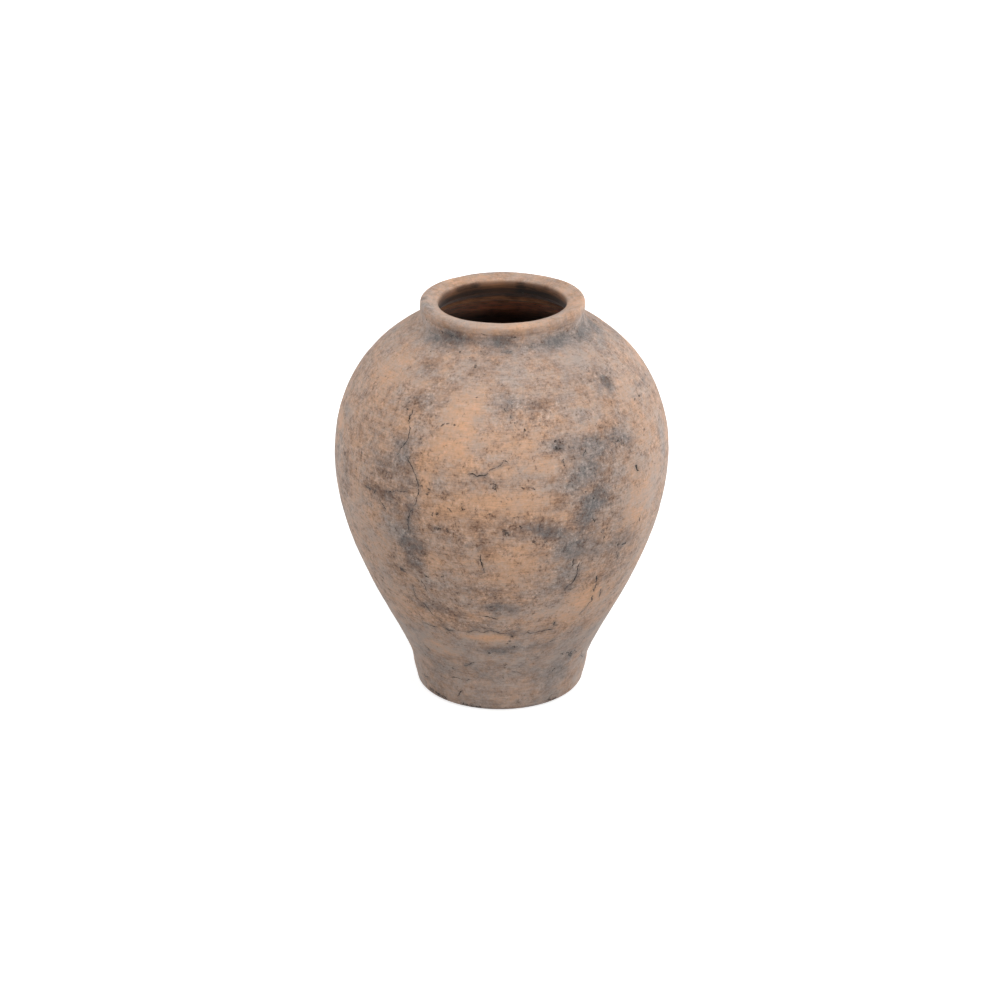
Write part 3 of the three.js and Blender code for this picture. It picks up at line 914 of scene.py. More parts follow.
@dataclass
class Nicks:
    """Small dark nicks in the skin, those that the photograph shows and seeded ones on the other sides."""

    outline: Outline
    view: Viewpoint
    seed: int = 37
    others: int = 75  # number of nicks outside the photograph's view
    unseen: Unseen = Unseen()  # where they lie
    lengths: Pair = (1.0, 2.6)  # their least and greatest half length in millimetres
    widths: Pair = (0.6, 1.3)  # their least and greatest half width in millimetres
    scatter: float = 0.9  # spread of their turns
    fade: Pair = (7.5 * MM, 5.5 * MM)  # distances at which a nick's mark is gone, and is whole
    # How much nearer than the next one a nick is where its mark begins, and where it is whole.
    apart: Pair = (0.5 * MM, 1.5 * MM)
    # One row for each nick: angle, way walked, half length, half width and turn.
    places: Array = field(init=False)

    def __post_init__(self) -> None:
        """Places the nicks of the photograph, then draws the others."""
        rng = np.random.default_rng(self.seed)
        rows = []
        for x, y, length, width, turn in FRONT_NICKS:
            place = self.view.on_skin(self.outline, x, y)
            rows.append((*place, length * MM, width * MM, math.radians(turn)))
        for _ in range(self.others):
            place = self.unseen.draw(self.outline, rng)
            length, width = rng.uniform(*self.lengths) * MM, rng.uniform(*self.widths) * MM
            rows.append((*place, length, width, rng.normal(0.0, self.scatter)))
        self.places = np.array(rows)

    def over(self, spots: Spots) -> tuple[Array, Array, Array]:
        """Measures each place of the skin from the nick that is nearest to it.

        The two measures run along and across the nick, counted in its half length and half width, and
        change evenly between the points of a coarse mesh, so even a small nick keeps its shape.

        Args:
            spots: Places of the skin.

        Returns:
            The two measures, and a share that is 1 around a nick and 0 halfway to the next one.
        """
        best, second, along, across = (np.full(spots.around.shape, far) for far in (1.0, 1.0, 9.0, 9.0))
        for middle, way, length, width, turn in self.places:
            away = spots.away(middle, way)
            distance = np.hypot(*away)
            nearer = distance < best
            second = np.where(nearer, best, np.minimum(second, distance))
            best = np.where(nearer, distance, best)
            run, rise = turned(*away, turn)
            along = np.where(nearer, run / length, along)
            across = np.where(nearer, rise / width, across)
        return along, across, soft_step(*self.fade, best) * soft_step(*self.apart, second - best)


@dataclass
class Weathering:
    """Where the skin is stained, greyed, cracked and open to the inside, and where light and shade are
    painted on it.
    """

    outline: Outline
    view: Viewpoint
    crazing: Crazing
    nicks: Nicks
    seed: int = 23
    others: int = 130  # number of soft marks outside the photograph's view
    # How free of specks the clay is, the foot and the rubbed lip above all.
    clean: Trend = Trend(
        CLEAN, (Rise(0.12, Seam.WAIST, 10, -20), Belt(0.08, Seam.NECK, 0, 20), Rise(0.2, Seam.LIP, -1, 3))
    )
    # Brightness of the clay: darker foot, even body, darker hollow of the neck, painted shade and
    # highlight.
    tone: Trend = Trend(
        0.93,
        (
            Rise(0.04, Seam.WAIST, -10, 30),
            Rise(0.03, Seam.BELLY, -50, 0),
            # Painted shade: darker within 3 mm of the ground, where the bottom edge turns under.
            Rise(-0.15, Seam.GROUND, 3, 1),
            Belt(-0.03, Seam.NECK, 6, 9),
            # Painted shade on the lip's lower outer face, and a painted highlight over its top.
            Rise(-0.04, Seam.LIP, -1, 3),
            Rise(0.16, Seam.LIP, 4, 8),
        ),
    )
    # Shift of the clay towards orange: grey foot, warm belly and lip.
    warmth: Trend = Trend(
        0.0, (Rise(-0.25, Seam.WAIST, 5, -25), Rise(-0.1, Seam.NECK, -60, 0), Rise(0.15, Seam.LIP, -2, 3))
    )
    # Where the raw inside begins and is whole, by millimetres past the ledge under the lip.
    opening: Pair = (-14.5, -5.5)
    throat: Pair = (-15.0, -6.5)  # where its painted light and shade take over, counted in the same way
    # Painted light and shade of the raw inside, by millimetres past the same ledge.
    # Painted shade on the neck's inner wall, under the ledge and low on the wall; painted light on the
    # shoulder's underside.
    throat_light_and_shade: tuple[Row, ...] = (
        (-10, 0.36), (-6.5, 0.25), (-4, 0.05), (-1, 0.05), (0, 0.14), (1, 0.22), (12, 0.38), (14, 1.0),
        (18, 1.8), (24, 1.95), (50, 1.65), (57, 0.7), (68, 0.15), (84, 0.12), (100, 0.6), (130, 1.0),
    )
    unseen: Unseen = Unseen(78.0, 282.0)  # where the other marks lie
    widths: Pair = (7.0, 30.0)  # their least and greatest half width in millimetres
    heights: Pair = (5.0, 16.0)  # their least and greatest half height in millimetres
    dusks: Pair = (-0.75, 0.85)  # their least and greatest strength
    chill_share: float = 0.4  # how much of their strength goes into their chill
    chills: Pair = (-0.5, 0.6)  # least and greatest of what is added to it
    scatter: float = 0.4  # spread of their turns
    marks: list[Mark] = field(init=False)

    def __post_init__(self) -> None:
        """Places the marks of the photograph, then draws the others."""
        rng = np.random.default_rng(self.seed)
        self.marks = [self._seen(row, True) for row in THROAT_MARKS]
        self.marks += [self._seen(row, False) for row in OUTER_MARKS]
        self.marks += [self._drawn(rng) for _ in range(self.others)]

    def _seen(self, row: Row, inside: bool) -> Mark:
        """Places a mark of the photograph on the skin.

        Args:
            row: Its row in the tables.
            inside: Whether it lies inside the mouth.

        Returns:
            The mark in place.
        """
        x, y, across, up, turn, dusk, chill = row
        place = self.view.on_skin(self.outline, x, y, inside)
        return Mark(*place, across * MM, up * MM, math.radians(turn), dusk, chill)

    def _drawn(self, rng: np.random.Generator) -> Mark:
        """Draws a mark on the other sides, wider than high, and as likely dark as pale.

        Args:
            rng: Random draws.

        Returns:
            The mark in place.
        """
        place = self.unseen.draw(self.outline, rng)
        across, up = rng.uniform(*self.widths) * MM, rng.uniform(*self.heights) * MM
        dusk = rng.uniform(*self.dusks)
        chill = self.chill_share * dusk + rng.uniform(*self.chills)
        return Mark(*place, across, up, rng.normal(0.0, self.scatter), dusk, chill)

    def over(self, around: Array, walked: Array) -> dict[Field, Array]:
        """Works out every attribute that the materials read.

        Args:
            around: Angle of each place.
            walked: Way walked to each place.

        Returns:
            One array for each attribute.
        """
        spots, levels = self.outline.spots(around, walked), self.outline.levels
        dusk, chill = np.zeros(around.shape), np.zeros(around.shape)
        for mark in self.marks:
            share = mark.over(spots)
            dusk += mark.dusk * share
            chill += mark.chill * share
        side, width, stain = self.crazing.over(spots)
        along, across, near = self.nicks.over(spots)
        past_ledge = (walked - self.outline.walk_inside(self.outline.ledge_level)) / MM
        # Past the ledge the tone gives way to the painted light and shade inside the mouth.
        throat = soft_step(*self.throat, past_ledge)
        painted_throat_light_and_shade = np.interp(past_ledge, *zip(*self.throat_light_and_shade))
        return {
            Field.DUSK: dusk,
            Field.CHILL: chill,
            Field.TONE: self.tone.over(levels, spots.level) * (1.0 - throat) + painted_throat_light_and_shade * throat,
            Field.WARMTH: self.warmth.over(levels, spots.level),
            Field.SPECKLE: self.clean.over(levels, spots.level),
            Field.INSIDE: soft_step(*self.opening, past_ledge),
            Field.CRACK_SIDE: side / MM,
            Field.CRACK_WIDTH: width / MM,
            Field.CRACK_STAIN: stain,
            Field.NICK_ALONG: along,
            Field.NICK_ACROSS: across,
            Field.NICK_NEAR: near,
        }


@dataclass
class Relief:
    """The unevenness of a surface thrown by hand."""

    outline: Outline
    crazing: Crazing
    view: Viewpoint
    dent: float = 0.55 * MM  # height of the broad dents
    knob: float = 0.16 * MM  # height of the small swellings
    ring: float = 0.22 * MM  # height of the throwing rings on the outside
    inner_ring: float = 0.7 * MM  # height of the throwing rings on the inside
    ring_spacing: float = 10 * MM  # distance between throwing rings
    groove: float = 0.2 * MM  # depth of the cracks
    crease: float = 0.5 * MM  # depth of the crease under the lip
    out_of_round: float = 0.003  # how far the jar's rings differ from circles, as a share of the radius
    tilt: float = 0.5 * MM  # how far the lip's plane rises to one side
    dent_size: float = 45 * MM  # width of the broad dents
    knob_size: float = 11 * MM  # width of the small swellings
    wander: float = 0.45  # how far the throwing rings wander as they go round
    ring_radii: Pair = (30 * MM, 80 * MM)  # radii at which the rings begin, and are whole
    mouth_blend: float = 12 * MM  # way from the crest to where the relief is that of the inside
    deep_width: float = 0.6 * MM  # half width from which a crack has its full depth
    groove_reach: float = 1.0 * MM  # distance from a crack at which a third of its depth is left
    crease_reach: float = 1.2 * MM  # the same for the crease
    flat_below: float = 6 * MM  # height under which the relief fades, for the base is flat
    round_below: float = 50 * MM  # height under which the rings become circles
    tilt_start: float = 0.8  # share of the jar's height at which the tilt begins
    # How its rings differ from circles: rows of strength, lobes, turn, and twist for each metre.
    swells: tuple[Row, ...] = ((1.0, 2, -0.6, -3.0), (0.6, 3, 1.1, 7.0))
    broad: Lumps = field(default_factory=lambda: Lumps(3))
    rings: Lumps = field(default_factory=lambda: Lumps(4))

    def skin(self, around: Array, walked: Array) -> Array:
        """How far the skin stands out of its smooth outline.

        It is the sum of broad dents, small swellings, rings that wander a little as they go round, and
        grooves at the cracks and under the lip.

        Args:
            around: Angle of each place.
            walked: Way walked to each place.

        Returns:
            The height above the outline.
        """
        spots = self.outline.spots(around, walked)
        inner = soft_step(0.0, self.mouth_blend, walked - self.outline.crest_walk)
        dents = self._lumps(spots, inner, self.dent_size, 2) * self.dent
        knobs = self._lumps(spots, inner, self.knob_size, 3) * self.knob
        x, y = self.wander * np.sin(around), self.wander * np.cos(around)
        turns = self.rings.layered(np.stack([x, y, walked / self.ring_spacing]), 2, 0.6)
        middle = soft_step(*self.ring_radii, spots.radius)
        rings = turns * (self.ring + (self.inner_ring - self.ring) * inner) * middle
        side, width, _ = self.crazing.over(spots)
        depth = self.groove * np.clip(width / self.deep_width, 0.0, 1.0)
        grooves = -depth * hump(0.0, self.groove_reach, side)
        seam = self.outline.walk_outside(self.outline.levels.lip)
        under_lip = -self.crease * hump(seam, self.crease_reach, walked)
        return (dents + knobs + rings + grooves + under_lip) * soft_step(0.0, self.flat_below, spots.level)

    def _lumps(self, spots: Spots, inner: Array, size: float, layers: int) -> Array:
        """Noise of one size in space, taken three sizes higher for the inside."""
        x, y = spots.radius * np.sin(spots.around), -spots.radius * np.cos(spots.around)
        return self.broad.layered(np.stack([x / size, y / size, spots.level / size + 3 * inner]), layers)

    def warp(self, x: Array, y: Array, z: Array) -> Array:
        """Bends the whole jar a little, clay and hollow alike: it leans, and its rings aren't quite round.

        Args:
            x: First coordinate of each place.
            y: Second coordinate.
            z: Height.

        Returns:
            The places after bending, one row each.
        """
        around = np.arctan2(x, -y)
        swell = sum(
            share * np.cos(lobes * around + turn + twist * z) for share, lobes, turn, twist in self.swells
        )
        whole = sum(share for share, *_ in self.swells)
        grow = 1.0 + self.out_of_round * swell * soft_step(0.0, self.round_below, z) / whole
        top = self.outline.levels.top
        lift = self.tilt * (x / self.outline.lip_radius) * soft_step(self.tilt_start * top, top, z)
        return np.stack([x * grow + self.view.lean * z, y * grow, np.maximum(z + lift, 0.0)], -1)


@dataclass
class Profile:
    """The closed line that is turned to make one piece."""

    radius: Array
    level: Array
    walked: Array  # way walked along the skin to each point, or to the nearest of the skin
    skin: Array  # 1 where the point lies on the skin of the jar, 0 inside a joint
    on_axis: bool = False  # whether the line begins and ends on the axis instead of closing on itself


@dataclass(frozen=True)
class Key:
    """The tongue under a section and the groove that takes it, in the middle of the wall."""

    width: float = 4.5 * MM  # width of the tongue at its root
    tip: float = 2 * MM  # width at its tip
    depth: float = 3 * MM  # how far it reaches down
    film: float = 0.3 * MM  # clearance of the groove all round

    def groove(self, outer: float, inner: float, level: float) -> Array:
        """Corners of the groove, from its outer edge inwards, as (radius, level) rows."""
        return self._corners((outer + inner) / 2, level, self.film)

    def tongue(self, outer: float, inner: float, level: float) -> Array:
        """Corners of the tongue, from its inner edge outwards, as (radius, level) rows."""
        return self._corners((outer + inner) / 2, level, 0.0)[::-1]

    def _corners(self, centre: float, level: float, spread: float) -> Array:
        """Four corners about the middle of the wall, moved outwards all round by the spread.

        Args:
            centre: Radius of the middle of the wall.
            level: Level of the seam.
            spread: How far the corners move outwards.

        Returns:
            The corners as (radius, level) rows.
        """
        rim, tip = self.width / 2 + spread, self.tip / 2 + spread
        bottom = level - self.depth - spread
        corners = ((rim, level), (tip, bottom), (-tip, bottom), (-rim, level))
        return np.array([[centre + aside, height] for aside, height in corners])


@dataclass
class Jar:
    """What every piece shares: the outline, the relief, the weathering and the joints."""

    outline: Outline
    relief: Relief
    weathering: Weathering
    key: Key = field(default_factory=Key)

    def skin_run(self, start: float, end: float, step: float) -> Profile:
        """Points of the skin from one way walked to another, at even steps.

        Args:
            start: Way walked to the first point.
            end: Way walked to the last point.
            step: Greatest distance between points.

        Returns:
            The stretch of profile.
        """
        walked = np.linspace(start, end, max(2, int(math.ceil((end - start) / step)) + 1))
        radius, level = self.outline.radius_at(walked), self.outline.level_at(walked)
        return Profile(radius, level, walked, np.ones(len(walked)))

    def joint_run(self, points: Array, walked: float) -> Profile:
        """Points inside a joint, which take their marks from the nearest place of the skin."""
        count = len(points)
        return Profile(points[:, 0], points[:, 1], np.full(count, walked), np.zeros(count))

    def seam(self, level: float) -> tuple[float, float, float]:
        """Outer and inner radius of the wall at a seam, and the seam's level."""
        walks = self.outline.walk_outside(level - HAIR), self.outline.walk_inside(level)
        return (*self.outline.radius_at(np.array(walks)).tolist(), level)

    def ring(self, bottom: float, top: float, outer_step: float, inner_step: float) -> Profile:
        """Profile of a section between two seams: up the outside, groove, down the inside, tongue.

        Args:
            bottom: Level of the seam under the section.
            top: Level of the seam over it.
            outer_step: Greatest distance between points of the outside.
            inner_step: The same on the inside.

        Returns:
            The closed profile.
        """
        outline = self.outline
        runs = [
            self.skin_run(outline.walk_outside(bottom), outline.walk_outside(top - HAIR), outer_step),
            self.joint_run(self.key.groove(*self.seam(top)), outline.walk_outside(top)),
            self.skin_run(outline.walk_inside(top), outline.walk_inside(bottom), inner_step),
            self.joint_run(self.key.tongue(*self.seam(bottom)), outline.walk_inside(bottom)),
        ]
        return join_runs(runs)

    def places(self, profile: Profile, around: Array) -> Array:
        """Turns a profile about the axis: the outline moved out by the relief, then warped.

        Args:
            profile: Line to turn.
            around: Angle of each column.

        Returns:
            The places as an array of rows by columns by three.
        """
        angle, walked = np.meshgrid(around, profile.walked)
        height = self.relief.skin(angle.ravel(), walked.ravel()).reshape(angle.shape)
        outward = self.outline.outward_at(profile.walked) * profile.skin[:, None]
        radius = profile.radius[:, None] + outward[:, :1] * height
        level = profile.level[:, None] + outward[:, 1:] * height
        return self.relief.warp(radius * np.sin(angle), -radius * np.cos(angle), level)


def join_runs(runs: list[Profile], on_axis: bool = False) -> Profile:
    """Puts stretches of profile one after another."""
    parts = [[getattr(run, name) for run in runs] for name in ("radius", "level", "walked", "skin")]
    return Profile(*(np.concatenate(part) for part in parts), on_axis)


@dataclass
class Turned:
    """A piece made by turning a profile, with the node that it stands for."""

    node: str
    slot: str
    profile: Profile
    finish: Material
    columns: int = 624  # number of faces round the axis
    sharpest: float = math.radians(55)  # angle between faces above which an edge stays sharp
    margin: float = 0.004  # free edge of the piece's map, as a share of its width

    def build(self, jar: Jar) -> bpy.types.Object:
        """Makes the mesh, its map and its attributes, and puts it in the place of its node.

        Args:
            jar: What all pieces share.

        Returns:
            The finished piece.
        """
        around = 2 * math.pi * np.arange(self.columns) / self.columns - math.pi
        places = jar.places(self.profile, around)
        rows = len(self.profile.radius)
        index = np.arange(rows * self.columns).reshape(rows, self.columns)
        if self.profile.on_axis:
            index[0], index[-1] = index[0, 0], index[-1, 0]
        corners, starts, chart = self._faces(index, self._chart(places))
        used = np.unique(index)
        rank = np.full(rows * self.columns, -1)
        rank[used] = np.arange(len(used))
        mesh = bpy.data.meshes.new(f"{self.node}_clay")
        mesh.vertices.add(len(used))
        mesh.loops.add(len(corners))
        mesh.polygons.add(len(starts))
        mesh.vertices.foreach_set("co", places.reshape(-1, 3)[used].astype(np.float32).ravel())
        mesh.loops.foreach_set("vertex_index", rank[corners].astype(np.int32))
        mesh.polygons.foreach_set("loop_start", starts.astype(np.int32))
        mesh.polygons.foreach_set("use_smooth", np.ones(len(starts), bool))
        mesh.update(calc_edges=True)
        mesh.validate()
        mesh.uv_layers.new(name="OFBake").uv.foreach_set("vector", chart.astype(np.float32).ravel())
        angle, walked = np.meshgrid(around, self.profile.walked)
        marks = jar.weathering.over(angle.ravel()[used], walked.ravel()[used])
        for mark, values in marks.items():
            layer = mesh.attributes.new(mark.value, "FLOAT", "POINT")
            layer.data.foreach_set("value", values.astype(np.float32))
        mesh.set_sharp_from_angle(angle=self.sharpest)
        return self._set_up(mesh)

    def _chart(self, places: Array) -> tuple[Array, Array]:
        """The two coordinates of the piece's map: the share of a turn, and of the way round the profile.

        Args:
            places: Places of the mesh, rows by columns by three.

        Returns:
            The first coordinate of each column's edge, and the second of each row's.
        """
        ring = places[:, 0]
        if not self.profile.on_axis:
            ring = np.concatenate([ring, ring[:1]])
        way = np.concatenate([[0.0], np.cumsum(np.linalg.norm(np.diff(ring, axis=0), axis=1))])
        span = 1 - 2 * self.margin
        across = self.margin + span * np.arange(self.columns + 1) / self.columns
        return across, self.margin + span * way / way[-1]

    def _faces(self, index: Array, chart: tuple[Array, Array]) -> tuple[Array, Array, Array]:
        """Lists the corners of all faces: four to a face, or three beside the axis.

        Args:
            index: Number of the vertex at each row and column.
            chart: Map coordinates of the columns' and rows' edges.

        Returns:
            The vertex of each corner, the first corner of each face, and the corners' map places.
        """
        across, along = chart
        rows, columns = index.shape
        last = rows - 1 if self.profile.on_axis else rows
        i, j = np.meshgrid(np.arange(last), np.arange(columns), indexing="ij")
        up, right = (i + 1) % rows, (j + 1) % columns
        quads = np.stack([index[i, j], index[i, right], index[up, right], index[up, j]], -1)
        u = np.stack([across[j], across[j + 1], across[j + 1], across[j]], -1)
        v = np.stack([along[i], along[i], along[i + 1], along[i + 1]], -1)
        keep = np.ones(quads.shape, bool)
        if self.profile.on_axis:
            keep[0, :, 1] = False
            keep[-1, :, 3] = False
        counts = keep.reshape(-1, 4).sum(1)
        starts = np.concatenate([[0], np.cumsum(counts)[:-1]])
        return quads[keep], starts, np.stack([u[keep], v[keep]], -1)

    def _set_up(self, mesh: bpy.types.Mesh) -> bpy.types.Object:
        """Gives the mesh its material, and puts its object into the frame.

        Args:
            mesh: The finished mesh.

        Returns:
            The piece's object.
        """
        mesh.materials.append(self.finish)
        piece = add_object(f"{self.node}_clay", mesh)
        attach(piece, BODY)
        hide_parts(self.node)
        return piece


@dataclass(frozen=True)
class Wire:
    """A number or colour that flows out of a node. Its operators add Math nodes."""

    bench: "Bench"
    socket: bpy.types.NodeSocket | None  # the output node has none

    def _math(self, operation: str, *values: "Wire | float") -> "Wire":
        """Adds one Math node."""
        return self.bench.add("ShaderNodeMath", {"operation": operation}, dict(enumerate(values)))

    def __add__(self, other: "Wire | float") -> "Wire":
        """Sum."""
        return self._math("ADD", self, other)

    def __radd__(self, other: float) -> "Wire":
        """Sum, with the number first."""
        return self._math("ADD", other, self)

    def __sub__(self, other: "Wire | float") -> "Wire":
        """Difference."""
        return self._math("SUBTRACT", self, other)

    def __rsub__(self, other: float) -> "Wire":
        """Difference, with the number first."""
        return self._math("SUBTRACT", other, self)

    def __mul__(self, other: "Wire | float") -> "Wire":
        """Product."""
        return self._math("MULTIPLY", self, other)

    def __rmul__(self, other: float) -> "Wire":
        """Product, with the number first."""
        return self._math("MULTIPLY", other, self)

    def __rtruediv__(self, other: float) -> "Wire":
        """Quotient, with the number first."""
        return self._math("DIVIDE", other, self)

    def __abs__(self) -> "Wire":
        """Size without sign."""
        return self._math("ABSOLUTE", self)

    def most(self, other: "Wire | float") -> "Wire":
        """The greater of the two."""
        return self._math("MAXIMUM", self, other)

    def step(self, low: float, high: float) -> "Wire":
        """Climbs softly from 0 at low to 1 at high, or falls where low is the greater.

        Args:
            low: Value at which it is 0.
            high: Value at which it is 1.

        Returns:
            The wire with the step.
        """
        ends = (low, high, 0.0, 1.0) if low < high else (high, low, 1.0, 0.0)
        values = dict(zip(("From Min", "From Max", "To Min", "To Max"), ends))
        settings = {"interpolation_type": "SMOOTHSTEP"}
        return self.bench.add("ShaderNodeMapRange", settings, {"Value": self, **values})


class Pattern(Enum):
    """The noises in the clay.

    Each has the size in millimetres of its coarsest grains, the number of its finer layers, the strength
    of each layer as a share of the one before, how many times wider than high its grains are, and a
    shift that gives it a part of space of its own.
    """

    CLOUDS = (26, 3, 0.7, 1.5, 1)
    HUE = (32, 6, 0.85, 1.4, 13)
    MOTTLE = (9, 4, 0.9, 1.15, 21)
    FINE = (2.6, 2, 0.8, 0.75, 27)
    WIPE = (13, 4, 0.7, 11, 3)
    SWARM = (19, 3, 0.7, 1.3, 41)
    SCRIBBLE = (6, 5, 0.75, 0.8, 51)
    GAPS = (4, 2, 0.6, 1, 57)
    GRAIN = (1.6, 3, 0.7, 1, 31)
    CRACK_WOBBLE = (4, 3, 0.7, 1, 17)
    CRACK_OPENING = (5, 3, 0.7, 1, 5)
    NICK_EDGE = (1.5, 2, 0.8, 1, 61)
    PIT_EDGE = (1.6, 2, 0.7, 1, 5)
    PIT_SWARM = (16, 2, 0.6, 1.3, 9)


class Bench:
    """Builds the nodes of one material, or of the world."""

    def __init__(self, data: Material | bpy.types.World) -> None:
        """Empties the node tree of a new material or world.

        Args:
            data: The material or world.
        """
        data.use_nodes = True
        self.data, self.tree = data, data.node_tree
        self.tree.nodes.clear()

    @cached_property
    def place(self) -> Wire:
        """Object coordinates of the surface."""
        return self.add("ShaderNodeTexCoord", {}, {}, "Object")

    def add(
        self, kind: str, settings: dict[str, object], inputs: dict[int | str, object], output: int | str = 0
    ) -> Wire:
        """Adds any node.

        Args:
            kind: Blender's name of the node's type.
            settings: Properties of the node, which are set first.
            inputs: Values or wires of its sockets, by number or name.
            output: The socket to hand on.

        Returns:
            The wire out of that socket.
        """
        node = self.tree.nodes.new(kind)
        for name, value in settings.items():
            setattr(node, name, value)
        for name, value in inputs.items():
            if isinstance(value, Wire):
                self.tree.links.new(value.socket, node.inputs[name])
            elif isinstance(value, tuple) and node.inputs[name].type == "RGBA":
                node.inputs[name].default_value = (*value, 1.0)[:4]
            else:
                node.inputs[name].default_value = value
        return Wire(self, node.outputs[output] if len(node.outputs) else None)

    def read(self, mark: Field) -> Wire:
        """Reads a mesh attribute."""
        return self.add("ShaderNodeAttribute", {"attribute_name": mark.value}, {}, "Fac")

    def stretched(self, size: float, squash: float, shift: float) -> Wire:
        """Object coordinates counted in grains of one size.

        Args:
            size: Width of a grain in millimetres.
            squash: How many times wider than high the grains are.
            shift: Offset that gives each pattern a part of space of its own.

        Returns:
            The wire with the coordinates.
        """
        values = {
            "Vector": self.place,
            "Location": (shift, shift * 0.7, shift * 0.4),
            "Scale": (1 / (size * MM), 1 / (size * MM), squash / (size * MM)),
        }
        return self.add("ShaderNodeMapping", {}, values)

    def noise(self, pattern: Pattern) -> Wire:
        """Cloudy noise about zero, mostly between -0.3 and 0.3.

        Args:
            pattern: Which of the noises.

        Returns:
            The wire with the noise.
        """
        size, detail, roughness, squash, shift = pattern.value
        place = self.stretched(size, squash, shift)
        values = {"Vector": place, "Scale": 1.0, "Detail": detail, "Roughness": roughness}
        return self.add("ShaderNodeTexNoise", {"noise_dimensions": "3D"}, values) - 0.5

    def blend(self, share: Wire | float, first: Wire | Colour, second: Wire | Colour) -> Wire:
        """Mixes two colours by a share of the second."""
        return self.add("ShaderNodeMix", {"data_type": "RGBA"}, {0: share, 6: first, 7: second}, 2)

    def scale(self, colour: Wire | Colour, factor: Wire) -> Wire:
        """Makes a colour brighter or darker by a factor."""
        return self.add("ShaderNodeVectorMath", {"operation": "SCALE"}, {0: colour, "Scale": factor})

    def background_rays(self) -> Wire:
        """1 for a ray that shows the background: from the camera, off gloss or through glass.

        Returns:
            The wire, 1 or 0.
        """
        rays = ("Is Camera Ray", "Is Glossy Ray", "Is Transmission Ray")
        camera, gloss, glass = (self.add("ShaderNodeLightPath", {}, {}, ray) for ray in rays)
        return camera.most(gloss).most(glass)

    def finish(self, shader: Wire) -> Material | bpy.types.World:
        """Ends the material or the world with its output.

        Args:
            shader: What it is to show.

        Returns:
            The material or the world.
        """
        kind = "World" if isinstance(self.data, bpy.types.World) else "Material"
        self.add(f"ShaderNodeOutput{kind}", {}, {"Surface": shader})
        return self.data


